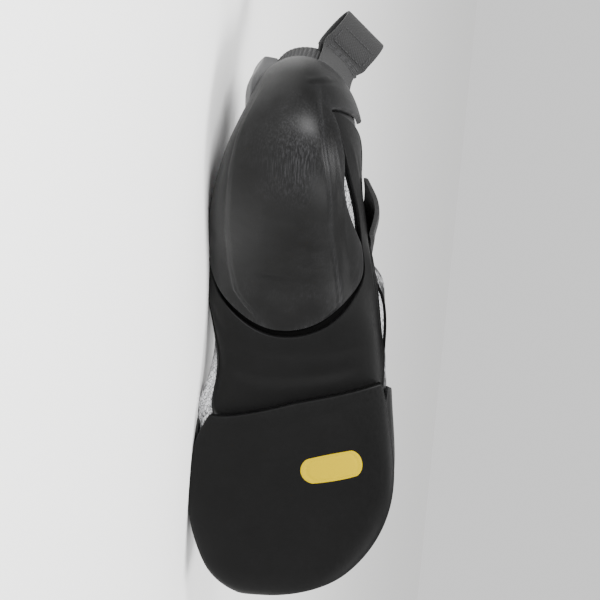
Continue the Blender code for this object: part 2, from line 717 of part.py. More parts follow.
def make_pull_loop():
    """The webbing pull loop that straddles the collar at the outer side of the heel."""
    around = np.linspace(*PULL_LOOP_SIDE, PULL_LOOP_COLUMNS + 1)
    half = 0.5 * WEBBING_THICKNESS
    outside = FIT_GAP + half
    inside = -UPPER_WALL - CUFF_THICKNESS - PULL_LOOP_CLEARANCE - half
    rise = np.array(PULL_LOOP_LEAN) / np.linalg.norm(PULL_LOOP_LEAN)
    ends = at(PULL_LOOP_REACH, np.array(PULL_LOOP_SIDE), 0.5 * (outside + inside))
    run = (ends[1] - ends[0]) / np.linalg.norm(ends[1] - ends[0])
    across = PULL_LOOP_WIDTH * np.linspace(-0.5, 0.5, PULL_LOOP_COLUMNS + 1)
    base = ends.mean(axis=0) + across[:, None] * run
    spread = normal_at(COLLAR, float(around.mean()))
    spread = spread - (spread @ rise) * rise
    spread /= np.linalg.norm(spread)
    rows = []
    for station in (PULL_LOOP_FOOT, COLLAR, PULL_LOOP_REACH):
        rows.append(at(station, around, outside))
    for turn in np.linspace(-PULL_LOOP_TURN, math.pi + PULL_LOOP_TURN, PULL_LOOP_TURNS + 1):
        swell = 0.5 * PULL_LOOP_DEPTH * math.cos(turn)
        climb = PULL_LOOP_HEIGHT * (1.0 - PULL_LOOP_BEND + PULL_LOOP_BEND * math.sin(turn))
        rows.append(base + climb * rise + swell * spread)
    for station in (PULL_LOOP_REACH, COLLAR, PULL_LOOP_FOOT):
        rows.append(at(station, around, inside))
    finish = material("pull_loop_webbing", (0.03, 0.03, 0.032), 0.85)
    return sheet("pull_loop", finish, *thickened(np.array(rows), WEBBING_THICKNESS))


def volume_and_centre(made):
    """Volume of a closed mesh and its volume times its centre."""
    made.data.calc_loop_triangles()
    corners = np.array([vertex.co for vertex in made.data.vertices])
    triangles = np.array([triangle.vertices for triangle in made.data.loop_triangles])
    first, second, third = (corners[triangles[:, place]] for place in range(3))
    volumes = np.einsum("ij,ij->i", first, np.cross(second, third)) / 6.0
    return volumes.sum(), (volumes[:, None] * (first + second + third) / 4.0).sum(axis=0)


def carries(corners, normal, weight_centre):
    """Whether the weight's centre stands over the face, so that the shoe stays where it lies."""
    over = weight_centre + normal.dot(corners[0] - weight_centre) * normal
    sides = []
    for place, corner in enumerate(corners):
        sides.append(normal.dot((corner - corners[place - 1]).cross(over - corners[place - 1])))
    return min(sides) > 0.0 or max(sides) < 0.0


def resting_face(pieces):
    """Outward normal of the hull's face, flattest to the inner side, that carries the shoe's weight."""
    volume = 0.0
    moment = np.zeros(3)
    for made in pieces:
        piece_volume, piece_moment = volume_and_centre(made)
        volume += piece_volume
        moment += piece_moment
    weight_centre = Vector(moment / volume)
    hull = bmesh.new()
    for made in pieces:
        for vertex in made.data.vertices:
            hull.verts.new(vertex.co)
    found = bmesh.ops.convex_hull(hull, input=hull.verts[:])
    faces = [part for part in found["geom"] if isinstance(part, bmesh.types.BMFace)]
    best = None
    for face in faces:
        normal = face.normal.copy()
        corners = [vertex.co.copy() for vertex in face.verts]
        if normal.dot(corners[0] - weight_centre) < 0.0:
            normal.negate()
        if carries(corners, normal, weight_centre) and (best is None or normal.y > best.y):
            best = normal
    hull.free()
    return best


def pressed(points, trees, floor):
    """Points after the shoe's lowest skin is pressed up to the floor, with the layers over it carried along."""
    result = points.copy()
    for place, point in enumerate(points):
        start = Vector((point[0], point[1], floor - 2.0 * REST_FLAT))
        hits = [tree.ray_cast(start, Vector((0.0, 0.0, 1.0)))[0] for tree in trees]
        skin = min([hit.z for hit in hits if hit is not None] + [point[2]])
        depth = point[2] - skin
        squashed = 1.0 - REST_SQUASH * min(depth / RAND_THICKNESS, 1.0)
        result[place, 2] += max(floor - skin, 0.0) * squashed * (1.0 - smooth_step(depth / REST_REACH))
    result[:, 2] = np.where(result[:, 2] < floor + REST_TOUCH, floor, result[:, 2])
    return result


def lay_on_side(pieces):
    """Turns the shoe onto its inner side, toe to +X and sole to -Y, and presses small flats where it lies."""
    up = -resting_face(pieces)
    forward = Vector((1.0, 0.0, 0.0))
    forward = (forward - forward.dot(up) * up).normalized()
    left = up.cross(forward)
    turn = Matrix((forward, left, up))
    moved = [np.array([tuple(turn @ vertex.co) for vertex in made.data.vertices]) for made in pieces]
    floor = min(points[:, 2].min() for points in moved) + REST_FLAT
    trees = [
        BVHTree.FromPolygons(points.tolist(), [tuple(face.vertices) for face in made.data.polygons])
        for made, points in zip(pieces, moved)
    ]
    moved = [pressed(points, trees, floor) for points in moved]
    lowest = np.min([points.min(axis=0) for points in moved], axis=0)
    highest = np.max([points.max(axis=0) for points in moved], axis=0)
    origin = np.array((0.5 * (lowest[0] + highest[0]), 0.5 * (lowest[1] + highest[1]), floor))
    for made, points in zip(pieces, moved):
        made.data.vertices.foreach_set("co", (points - origin).ravel())
        made.data.update()


def main():
    """Builds the shoe."""
    for old in list(bpy.data.objects):
        bpy.data.objects.remove(old)
    pieces = [
        make_upper(),
        make_insole(),
        make_tongue(),
        make_collar_cuff(),
        make_toe_cap(),
        make_front_outsole(),
        make_sling_rand(),
        make_heel_cup(),
        make_closure_strap(),
        make_pull_loop(),
    ]
    lay_on_side(pieces)


main()
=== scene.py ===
"""The looks of a right climbing shoe: its rubber, printed upper, knit cuff and webbing, and the studio.

Every piece is read from the lasted form of the shoe at (station, around, height). Station runs from the toe
tip, 0, to the collar, 20. Around is 0 under the foot, 1 at the inner side, -1 at the outer side and 2 or -2
over the instep. Height is measured outwards from the outer face of the upper. Lengths are in metres.
"""

import json
import logging
import math
from dataclasses import dataclass, field
from enum import Enum
from typing import Any

import bpy
import numpy as np
from mathutils import Matrix, Vector
from mathutils.bvhtree import BVHTree

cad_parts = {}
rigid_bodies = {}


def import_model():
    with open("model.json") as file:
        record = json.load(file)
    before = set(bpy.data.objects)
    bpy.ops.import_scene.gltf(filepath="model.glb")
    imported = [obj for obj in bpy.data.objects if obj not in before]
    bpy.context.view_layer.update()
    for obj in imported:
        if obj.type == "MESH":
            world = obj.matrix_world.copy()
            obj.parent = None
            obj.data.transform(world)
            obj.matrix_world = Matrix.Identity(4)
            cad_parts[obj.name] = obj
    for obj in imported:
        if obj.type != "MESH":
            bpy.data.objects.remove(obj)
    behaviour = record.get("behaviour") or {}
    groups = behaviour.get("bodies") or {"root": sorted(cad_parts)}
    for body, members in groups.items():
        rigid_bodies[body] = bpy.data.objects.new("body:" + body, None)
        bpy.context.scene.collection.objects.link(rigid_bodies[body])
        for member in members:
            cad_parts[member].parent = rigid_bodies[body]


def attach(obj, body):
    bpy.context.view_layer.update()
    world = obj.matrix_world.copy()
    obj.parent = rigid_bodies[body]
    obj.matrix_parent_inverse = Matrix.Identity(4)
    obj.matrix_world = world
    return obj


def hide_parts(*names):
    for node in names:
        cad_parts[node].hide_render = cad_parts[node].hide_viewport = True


LOG = logging.getLogger("climbing_shoe")
Array = np.ndarray
Table = tuple[tuple[float, ...], ...]
MM = 0.001
BODY = "root"
PHOTO_SIDE_PX = 600.0

# The upper's wall, the gap between layers, the rubber's rest over the upper, the rands and the cuff.
WALL = 2.0 * MM
FIT_GAP = 0.3 * MM
RUBBER_REST = 0.6 * MM
RAND = 1.6 * MM
CUFF = 1.6 * MM

# Metres of the flat map for one station and for one around.
MAP_STATION = 0.011
MAP_AROUND = 0.045

# Station, and half the throat's width in around.
THROAT: Table = ((7.7, 0.14), (10.0, 0.22), (14.0, 0.30), (20.0, 0.38))


class Side(Enum):
    """The two sides of the foot, as the sign of around."""

    INNER = 1.0
    OUTER = -1.0


class Ends(Enum):
    """Which border rows of a sheet are real edges, rounded over."""

    BOTH = (True, True)
    LAST = (False, True)


def linear(code: str) -> tuple[float, float, float, float]:
    """Turns an sRGB hex colour into linear red, green, blue and alpha.

    Args:
        code: Six hex digits after a hash.

    Returns:
        The linear colour with full alpha.
    """
    parts = [int(code[place:place + 2], 16) / 255.0 for place in (1, 3, 5)]
    straight = [part / 12.92 if part <= 0.04045 else ((part + 0.055) / 1.055) ** 2.4 for part in parts]
    return (*straight, 1.0)


def wire(tree: bpy.types.NodeTree, node: bpy.types.Node, inputs: dict[Any, Any]) -> None:
    """Sets a node's values and links.

    Args:
        tree: The node tree.
        node: The node.
        inputs: Values or output sockets by the input's name or place.
    """
    for name, value in inputs.items():
        if isinstance(value, bpy.types.NodeSocket):
            tree.links.new(value, node.inputs[name])
        else:
            node.inputs[name].default_value = value


def add_node(tree: bpy.types.NodeTree, kind: str, inputs: dict[Any, Any], **settings: Any) -> bpy.types.Node:
    """Adds a node to a tree with its settings, values and links.

    Args:
        tree: The node tree.
        kind: The node's type name.
        inputs: Values or output sockets by the input's name or place.
        **settings: The node's own properties.

    Returns:
        The new node.
    """
    made = tree.nodes.new(kind)
    for name, value in settings.items():
        setattr(made, name, value)
    wire(tree, made, inputs)
    return made


def smooth_step(value: Array) -> Array:
    """Gives 0 below 0, 1 above 1, and an even curve between."""
    value = np.clip(value, 0.0, 1.0)
    return value * value * (3.0 - 2.0 * value)


def rounded(value: Array) -> Array:
    """Gives 0 below 0, 1 above 1, and a quarter circle between."""
    return np.sqrt(1.0 - (1.0 - np.clip(value, 0.0, 1.0)) ** 2)


def column_of(table: Table, place: Array, column: int = 1) -> Array:
    """Reads a column of a short table between its rows.

    Args:
        table: Rows in rising order of their first column.
        place: Where to read, on the first column.
        column: The column that is read.

    Returns:
        The values at the places.
    """
    rows = np.array(table)
    return np.interp(place, rows[:, 0], rows[:, column])


def natural_spline(values: Array, places: Array) -> Array:
    """Reads a natural cubic spline through rows that stand at 0, 1, 2 and so on.

    Args:
        values: Rows of any width.
        places: Where to read.

    Returns:
        A row for each place.
    """
    count = len(values)
    system = np.eye(count)
    right = np.zeros_like(values)
    for row in range(1, count - 1):
        system[row, row - 1:row + 2] = (1.0, 4.0, 1.0)
        right[row] = 6.0 * (values[row - 1] - 2.0 * values[row] + values[row + 1])
    bends = np.linalg.solve(system, right)
    low = np.clip(np.floor(places).astype(int), 0, count - 2)
    after = (places - low)[:, None]
    before = 1.0 - after
    straight = before * values[low] + after * values[low + 1]
    curved = (before ** 3 - before) * bends[low] + (after ** 3 - after) * bends[low + 1]
    return straight + curved / 6.0


def curve_of(table: Table, count: int) -> Array:
    """Gives count rows along a smooth curve through a table's rows."""
    return natural_spline(np.array(table), np.linspace(0.0, len(table) - 1.0, count))


def crowded(count: int) -> Array:
    """Gives count steps from 0 to 1 that crowd towards both ends, where edges are rounded."""
    return 0.5 - 0.5 * np.cos(np.linspace(0.0, math.pi, count + 1))


def crowded_end(count: int) -> Array:
    """Gives count steps from 0 to 1 that crowd towards 1."""
    return np.sin(np.linspace(0.0, 0.5 * math.pi, count + 1))


def way_of(line: Array) -> Array:
    """Measures the way along a line of points."""
    return np.concatenate(([0.0], np.cumsum(np.linalg.norm(np.diff(line, axis=0), axis=1))))


def lengths_along(points: Array, axis: int) -> Array:
    """Measures the way along a grid of points, from its first row or column.

    Args:
        points: A grid of points.
        axis: 0 to measure down the columns, 1 along the rows.

    Returns:
        The lengths, one for each point.
    """
    steps = np.linalg.norm(np.diff(points, axis=axis), axis=2)
    start = np.zeros_like(np.take(steps, [0], axis=axis))
    return np.concatenate((start, np.cumsum(steps, axis=axis)), axis=axis)


def add_object(name: str, data: bpy.types.ID) -> bpy.types.Object:
    """Puts an object into the scene.

    Args:
        name: The object's name.
        data: Its mesh, light or camera.

    Returns:
        The object.
    """
    made = bpy.data.objects.new(name, data)
    bpy.context.scene.collection.objects.link(made)
    return made


@dataclass
class Last:
    """The lasted form, the same as the solids' form, and the way that the shoe lies on the floor."""

    length: float = 0.232
    ball_width: float = 0.0835
    heel_width: float = 0.0625
    instep_height: float = 0.080
    arch_rise: float = 0.030
    heel_height: float = 0.060
    station_steps: int = 16
    around_steps: int = 48
    quarter_samples: int = 300
    collar: float = 20.0
    floor_up: tuple[float, float, float] = (0.04899592, -0.9984450, -0.02658989)
    origin: tuple[float, float, float] = (-0.11592, -0.055438, 0.032355)
    forefoot: Table = (
        # bottom_x, bottom_z, top_x, top_z, inner, outer, widest, sole, crown, ridge
        (0.998, 0.467, 0.998, 0.175, 0.144, -0.144, 0.42, 3.0, 2.0, 0.00),
        (0.993, 0.333, 0.993, 0.238, 0.228, -0.050, 0.42, 3.5, 2.0, 0.00),
        (0.978, 0.240, 0.983, 0.281, 0.287, 0.090, 0.40, 4.5, 2.0, 0.01),
        (0.953, 0.217, 0.963, 0.325, 0.353, 0.232, 0.37, 5.5, 2.1, 0.03),
        (0.918, 0.247, 0.931, 0.381, 0.405, 0.343, 0.35, 6.0, 2.1, 0.05),
        (0.866, 0.300, 0.879, 0.430, 0.450, 0.440, 0.34, 6.0, 2.1, 0.06),
        (0.802, 0.383, 0.810, 0.485, 0.475, 0.500, 0.34, 6.0, 2.1, 0.06),
        (0.733, 0.500, 0.733, 0.556, 0.475, 0.508, 0.34, 5.5, 2.1, 0.05),
        (0.659, 0.667, 0.647, 0.650, 0.450, 0.485, 0.35, 5.0, 2.1, 0.04),
        (0.586, 0.850, 0.560, 0.755, 0.385, 0.465, 0.36, 4.0, 2.1, 0.02),
    )
    waist: Table = (
        (0.513, 1.000, 0.495, 0.835, 0.542, 0.600, 0.44, 3.2, 2.9, 0.01),
        (0.431, 0.967, 0.470, 0.880, 0.592, 0.575, 0.56, 2.6, 3.0, 0.00),
        (0.345, 0.783, 0.455, 0.910, 0.570, 0.510, 0.54, 2.4, 2.8, 0.00),
        (0.259, 0.500, 0.443, 0.935, 0.560, 0.450, 0.54, 2.4, 2.7, 0.00),
        (0.181, 0.267, 0.433, 0.955, 0.515, 0.432, 0.44, 2.5, 2.4, 0.00),
        (0.112, 0.167, 0.424, 0.972, 0.465, 0.412, 0.38, 2.4, 2.1, 0.00),
    )
    heel: Table = (
        (0.056, 0.145, 0.416, 0.986, 0.415, 0.400, 0.38, 2.3, 2.1, 0.00),
        (0.022, 0.306, 0.408, 0.998, 0.375, 0.390, 0.40, 2.1, 2.1, 0.00),
        (0.006, 0.516, 0.401, 1.008, 0.345, 0.378, 0.42, 2.1, 2.1, 0.00),
        (0.011, 0.758, 0.394, 1.017, 0.350, 0.362, 0.45, 2.1, 2.1, 0.00),
        (0.026, 1.000, 0.386, 1.025, 0.365, 0.350, 0.48, 2.1, 2.1, 0.00),
        (0.035, 1.280, 0.362, 1.120, 0.375, 0.355, 0.49, 2.1, 2.1, 0.00),
    )
    points: Array = field(init=False)
    normals: Array = field(init=False)
    turn: Array = field(init=False)

    def __post_init__(self) -> None:
        """Works out the form's grid and the turn onto the floor."""
        up = Vector(self.floor_up).normalized()
        forward = Vector((1.0, 0.0, 0.0))
        forward = (forward - forward.dot(up) * up).normalized()
        self.turn = np.array((forward, up.cross(forward), up))
        points, normals = self.grid()
        self.points = points @ self.turn.T + np.array(self.origin)
        self.normals = normals @ self.turn.T

    def sections(self) -> Array:
        """Gives every section in metres, a row each, from the toe tip to above the collar.

        Returns:
            The sections, ready for the spline.
        """
        regions = (
            (self.forefoot, self.ball_width, self.arch_rise),
            (self.waist, self.heel_width, self.arch_rise),
            (self.heel, self.heel_width, self.heel_height),
        )
        rows = []
        for sections, width, rise in regions:
            scale = np.array((
                self.length, rise, self.length, self.instep_height, width, width, 1.0, 1.0, 1.0, width))
            rows.extend(np.array(sections) * scale)
        return np.array(rows)

    def quarter(self, squareness: float, width: float, height: float) -> tuple[Array, Array]:
        """Steps along a quarter of a section, from its rail to its widest point.

        Args:
            squareness: 2 is an ellipse, more is squarer.
            width: Half the section's width.
            height: The way from the rail to the widest point.

        Returns:
            Distances across and away, in steps that share out length and turning evenly.
        """
        turn = np.linspace(0.0, math.pi / 2.0, self.quarter_samples)
        reach = (np.sin(turn) ** squareness + np.cos(turn) ** squareness) ** (-1.0 / squareness)
        across = width * reach * np.sin(turn)
        away = height * reach * np.cos(turn)
        step_across = np.diff(across)
        step_away = -np.diff(away)
        length = np.cumsum(np.hypot(step_across, step_away))
        heading = np.arctan2(step_away, step_across)
        share = 0.5 * length / length[-1] + 0.5 * heading / heading[-1]
        share = np.concatenate(([0.0], np.maximum.accumulate(share)))
        wanted = np.linspace(0.0, 1.0, self.around_steps + 1)
        return np.interp(wanted, share, across), np.interp(wanted, share, away)

    def grid(self) -> tuple[Array, Array]:
        """Works out points and outward normals of the form, in the shoe's own frame.

        Returns:
            The points and the normals, a ring for each row.
        """
        table = self.sections()
        last_station = len(table) - 1
        places = np.linspace(0.0, last_station, last_station * self.station_steps + 1)
        smallest = 0.3 * MM
        rings = []
        for row in natural_spline(table, places):
            bottom_x, bottom_z, top_x, top_z, inner, outer, widest, sole, crown, ridge = row
            bottom = np.array((bottom_x, 0.0, bottom_z))
            chord = np.array((top_x, 0.0, top_z)) - bottom
            height = max(float(np.linalg.norm(chord)), smallest)
            half_width = max(0.5 * (inner + outer), smallest)
            under_across, under_away = self.quarter(sole, half_width, widest * height)
            over_across, over_away = self.quarter(crown, half_width, (1.0 - widest) * height)
            across = np.concatenate((under_across, over_across[-2::-1]))
            away = np.concatenate((-under_away, over_away[-2::-1]))
            lean = ridge * (np.maximum(away, 0.0) / ((1.0 - widest) * height)) ** 2
            across = np.concatenate((-across[:0:-1], across)) + 0.5 * (inner - outer)
            away = np.concatenate((away[:0:-1], away))
            lean = np.concatenate((lean[:0:-1], lean))
            ring = bottom + (widest * height + away)[:, None] * (chord / height)
            ring[:, 1] += across + lean
            rings.append(ring)
        points = np.array(rings)
        along = np.gradient(points, axis=0)
        open_ring = points[:, :-1]
        around = np.roll(open_ring, -1, axis=1) - np.roll(open_ring, 1, axis=1)
        around = np.concatenate((around, around[:, :1]), axis=1)
        normals = np.cross(along, around)
        normals[0] = points[0].mean(axis=0) - points[3].mean(axis=0)
        normals /= np.linalg.norm(normals, axis=2, keepdims=True)
        return points, normals

    def read(self, grid: Array, station: Array, around: Array) -> Array:
        """Reads a grid of the form between its own points, and straight on above its last row.

        Args:
            grid: Points or normals of the form, a row for each station.
            station: Stations along the shoe.
            around: Places around its sections.

        Returns:
            One row for each place.
        """
        rows, columns = grid.shape[:2]
        row = np.maximum(station * self.station_steps, 0.0)
        column = np.mod(around + 2.0, 4.0) * self.around_steps
        low_row = np.clip(np.floor(row).astype(int), 0, rows - 2)
        low_column = np.clip(np.floor(column).astype(int), 0, columns - 2)
        down = (row - low_row)[..., None]
        right = (column - low_column)[..., None]
        first = (1.0 - right) * grid[low_row, low_column] + right * grid[low_row, low_column + 1]
        second = (1.0 - right) * grid[low_row + 1, low_column] + right * grid[low_row + 1, low_column + 1]
        return (1.0 - down) * first + down * second

    def normal(self, station: Array, around: Array) -> Array:
        """Gives outward unit normals of the form, in the world.

        Args:
            station: Stations along the shoe.
            around: Places around its sections.

        Returns:
            The normals, one for each place.
        """
        station, around = np.broadcast_arrays(np.asarray(station, float), np.asarray(around, float))
        normals = self.read(self.normals, station, around)
        return normals / np.linalg.norm(normals, axis=-1, keepdims=True)

    def at(self, station: Array, around: Array, height: Array = 0.0) -> Array:
        """Gives world points at a height over the upper's outer face.

        Args:
            station: Stations along the shoe.
            around: Places around its sections.
            height: Heights over the outer face.

        Returns:
            Points in the world, one for each place.
        """
        station, around, height = np.broadcast_arrays(
            np.asarray(station, float), np.asarray(around, float), np.asarray(height, float))
        return self.read(self.points, station, around) + height[..., None] * self.normal(station, around)

    def direction(self, shoe_vector: tuple[float, float, float]) -> Array:
        """Turns a direction of the shoe's own frame into the world."""
        turned = self.turn @ np.array(shoe_vector)
        return turned / np.linalg.norm(turned)


@dataclass(frozen=True)
class Crease:
    """A soft trough or ridge: its path on the form, its width and its rise."""

    path: tuple[tuple[float, float], ...]
    width: float
    rise: float

    def height(self, last: Last, points: Array) -> Array:
        """Gives the crease's height at world points, fading out towards both its ends.

        Args:
            last: The form that the path lies on.
            points: A grid of world points.

        Returns:
            Heights to add, one for each point.
        """
        rows = curve_of(self.path, 40)
        line = last.at(rows[:, 0], rows[:, 1])
        flat = points.reshape(-1, 3)
        near = np.full(len(flat), np.inf)
        place = np.zeros(len(flat))
        for step in range(len(line) - 1):
            run = line[step + 1] - line[step]
            share = np.clip(((flat - line[step]) @ run) / max(run @ run, 1e-12), 0.0, 1.0)
            gap = np.linalg.norm(flat - line[step] - share[:, None] * run, axis=1)
            closer = gap < near
            near[closer] = gap[closer]
            place[closer] = (step + share[closer]) / (len(line) - 1)
        fade = smooth_step(np.minimum(place, 1.0 - place) / 0.2)
        height = self.rise * np.exp(-(near / self.width) ** 2) * fade
        return height.reshape(points.shape[:-1])


@dataclass
class Skin:
    """A mesh in the making: points, faces, a flat map in metres and how worn each point is, with painted
    highlights and painted shade added in places.
    """

    points: Array
    faces: list[list[int]]
    flat: Array
    wear: Array
    lining_from: int | None = None

    def make(self, name: str, *finishes: bpy.types.Material) -> bpy.types.Object:
        """Makes the mesh object.

        Args:
            name: The object's name.
            *finishes: The outer material, and a lining for the faces from lining_from on.

        Returns:
            The object, in the scene.
        """
        used = np.zeros(len(self.points), bool)
        used[np.concatenate([np.array(face) for face in self.faces])] = True
        number = np.cumsum(used) - 1
        mesh = bpy.data.meshes.new(name)
        faces = [[int(number[corner]) for corner in face] for face in self.faces]
        mesh.from_pydata(self.points[used].tolist(), [], faces)
        mesh.update()
        corners = np.zeros(len(mesh.loops), int)
        mesh.loops.foreach_get("vertex_index", corners)
        layer = mesh.uv_layers.new(name="flat")
        layer.data.foreach_set("uv", self.flat[used][corners].ravel())
        worn = mesh.attributes.new("wear", "FLOAT", "POINT")
        worn.data.foreach_set("value", self.wear[used].astype(float))
        for finish in finishes:
            mesh.materials.append(finish)
        if self.lining_from is not None:
            places = np.zeros(len(self.faces), int)
            places[self.lining_from:] = 1
            mesh.polygons.foreach_set("material_index", places)
        mesh.shade_smooth()
        mesh.set_sharp_from_angle(angle=math.radians(50.0))
        return add_object(name, mesh)


def sheet_faces(index: Array, keep: Array | None) -> list[list[int]]:
    """Lists the faces of a grid's kept cells.

    Args:
        index: Numbers of the grid's points; equal neighbours are taken once.
        keep: Which cells are solid, or None for all.

    Returns:
        Lists of corners.
    """
    faces = []
    for row in range(index.shape[0] - 1):
        for column in range(index.shape[1] - 1):
            if keep is not None and not keep[row, column]:
                continue
            ring = (
                int(index[row, column]), int(index[row + 1, column]),
                int(index[row + 1, column + 1]), int(index[row, column + 1]),
            )
            face = [corner for place, corner in enumerate(ring) if corner != ring[place - 1]]
            if len(face) > 2:
                faces.append(face)
    return faces


def shell(
    outer: Array, inner: Array, flat: Array, wear: Array, keep: Array | None = None, closed: bool = False,
    tip: bool = False, lined: bool = False,
) -> Skin:
    """Joins two grids of points into one closed skin.

    Args:
        outer: The outer face's points.
        inner: The inner face's points.
        flat: The flat map's coordinates, for the outer face.
        wear: How worn each outer point is, with painted highlights and painted shade added in places.
        keep: Which cells are solid, or None for all.
        closed: Whether the last column joins the first.
        tip: Whether the first row is one point.
        lined: Whether the inner face has a material of its own.

    Returns:
        The skin.
    """
    rows, columns = outer.shape[:2]
    index = np.arange(rows * columns).reshape(rows, columns)
    if tip:
        index[0] = index[0, 0]
    if closed:
        index = np.concatenate((index, index[:, :1]), axis=1)
    faces = sheet_faces(index, keep)
    count = rows * columns
    edges = {(face[place - 1], corner) for face in faces for place, corner in enumerate(face)}
    rims = [[b, a, a + count, b + count] for a, b in sorted(edges) if (b, a) not in edges]
    backs = [[corner + count for corner in reversed(face)] for face in faces]
    points = np.concatenate((outer.reshape(-1, 3), inner.reshape(-1, 3)))
    first = points[faces[len(faces) // 2]]
    facing = np.cross(first[1] - first[0], first[2] - first[0])
    away = points[faces[len(faces) // 2][0]] - points[faces[len(faces) // 2][0] + count]
    every = faces + rims + backs
    if facing @ away < 0.0:
        every = [face[::-1] for face in every]
    both = np.concatenate((flat.reshape(-1, 2), flat.reshape(-1, 2)))
    worn = np.concatenate((wear.ravel(), np.zeros(count)))
    return Skin(points, every, both, worn, len(faces) + len(rims) if lined else None)


@dataclass
class Layer:
    """A sheet that lies on the form with rounded edges."""

    last: Last
    rest: float
    thickness: float
    edge_radius: float
    edge_wall: float = 0.35
    creases: tuple[Crease, ...] = ()
    ends: Ends = Ends.BOTH

    def skin(
        self, station: Array, around: Array, raised: Array = 0.0, closed: bool = False, tip: bool = False,
        direction: Array | None = None,
    ) -> Skin:
        """Builds the sheet over a grid of places.

        Args:
            station: Stations of the grid.
            around: Places around, of the grid.
            raised: Extra height of the outer face.
            closed: Whether the grid goes all the way round.
            tip: Whether its first row is one point.
            direction: Directions through the thickness, or None for the form's own normals.

        Returns:
            The skin, most worn at its edges.
        """
        station, around = np.broadcast_arrays(station, around)
        seat = self.last.at(station, around, self.rest)
        along = lengths_along(seat, 0)
        across = lengths_along(seat, 1)
        edge = np.full(station.shape, np.inf)
        first, last = self.ends.value
        if first:
            edge = np.minimum(edge, along)
        if last:
            edge = np.minimum(edge, along[-1:] - along)
        if not closed:
            edge = np.minimum(edge, np.minimum(across, across[:, -1:] - across))
        full = self.edge_wall + (1.0 - self.edge_wall) * rounded(edge / self.edge_radius)
        relief = np.zeros(station.shape) + raised
        for crease in self.creases:
            relief = relief + crease.height(self.last, seat)
        height = self.thickness * full + relief * smooth_step(edge / (3.0 * self.edge_radius))
        height = np.maximum(height, 0.3 * self.edge_wall * self.thickness)
        through = self.last.normal(station, around) if direction is None else direction
        outer = seat + height[..., None] * through
        flat = np.stack((along, across), axis=-1)
        wear = np.exp(-edge / (2.5 * self.edge_radius))
        return shell(outer, seat, flat, wear, None, closed, tip)


def tube(line: Array, radius: float, sides: int = 8) -> Skin:
    """Builds a round thread or bead with closed ends along a line of points.

    Args:
        line: World points.
        radius: The bead's radius.
        sides: Corners of its section.

    Returns:
        The skin.
    """
    run = np.gradient(line, axis=0)
    run /= np.maximum(np.linalg.norm(run, axis=1, keepdims=True), 1e-12)
    guide = np.array((0.31, -0.52, 0.79))
    first = np.cross(run, guide)
    first /= np.linalg.norm(first, axis=1, keepdims=True)
    second = np.cross(run, first)
    turn = np.linspace(0.0, 2.0 * math.pi, sides, endpoint=False)
    from_end = np.minimum(np.arange(len(line)), np.arange(len(line))[::-1])
    size = radius * np.sqrt(np.clip(from_end, 0.15, 1.0))
    ring = np.cos(turn)[None, :, None] * first[:, None] + np.sin(turn)[None, :, None] * second[:, None]
    points = line[:, None] + size[:, None, None] * ring
    index = np.arange(len(line) * sides).reshape(len(line), sides)
    index = np.concatenate((index, index[:, :1]), axis=1)
    faces = sheet_faces(index, None)
    faces.append([int(corner) for corner in index[0, :-1]])
    faces.append([int(corner) for corner in index[-1, :-1]][::-1])
    count = len(line) * sides
    flat = np.stack((np.repeat(np.arange(len(line)) * MM, sides), np.tile(turn * radius, len(line))), axis=-1)
    return Skin(points.reshape(-1, 3), faces, flat, np.zeros(count))


def joined(skins: list[Skin]) -> Skin:
    """Puts several skins into one.

    Args:
        skins: The skins.

    Returns:
        One skin.
    """
    faces = []
    start = 0
    for skin in skins:
        faces.extend([[corner + start for corner in face] for face in skin.faces])
        start += len(skin.points)
    return Skin(
        np.concatenate([skin.points for skin in skins]), faces, np.concatenate([skin.flat for skin in skins]),
        np.concatenate([skin.wear for skin in skins]))


@dataclass(frozen=True)
class Seam:
    """A row of separate stitches: a stitch's length, the gap to the next and the thread's radius."""

    length: float
    gap: float
    radius: float

    def sew(self, line: Array) -> Skin:
        """Lays the stitches along a line of points.

        Args:
            line: World points, close together.

        Returns:
            One skin of all the stitches.
        """
        way = way_of(line)
        made = []
        start = 0.5 * self.gap
        while start + self.length < way[-1]:
            places = start + self.length * np.linspace(0.0, 1.0, 5)
            run = np.stack([np.interp(places, way, line[:, axis]) for axis in range(3)], axis=-1)
            made.append(tube(run, self.radius, 6))
            start += self.length + self.gap
        return joined(made)


def present(piece: bpy.types.Object, slot: str, *nodes: str) -> None:
    """Attaches a piece to the shoe's body and hides the solids that it stands for.

    Args:
        piece: The new piece.
        slot: Not used.
        *nodes: The solids that it stands for.
    """
    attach(piece, BODY)
    if nodes:
        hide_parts(*nodes)
    LOG.info("%s: %d faces", piece.name, len(piece.data.polygons))


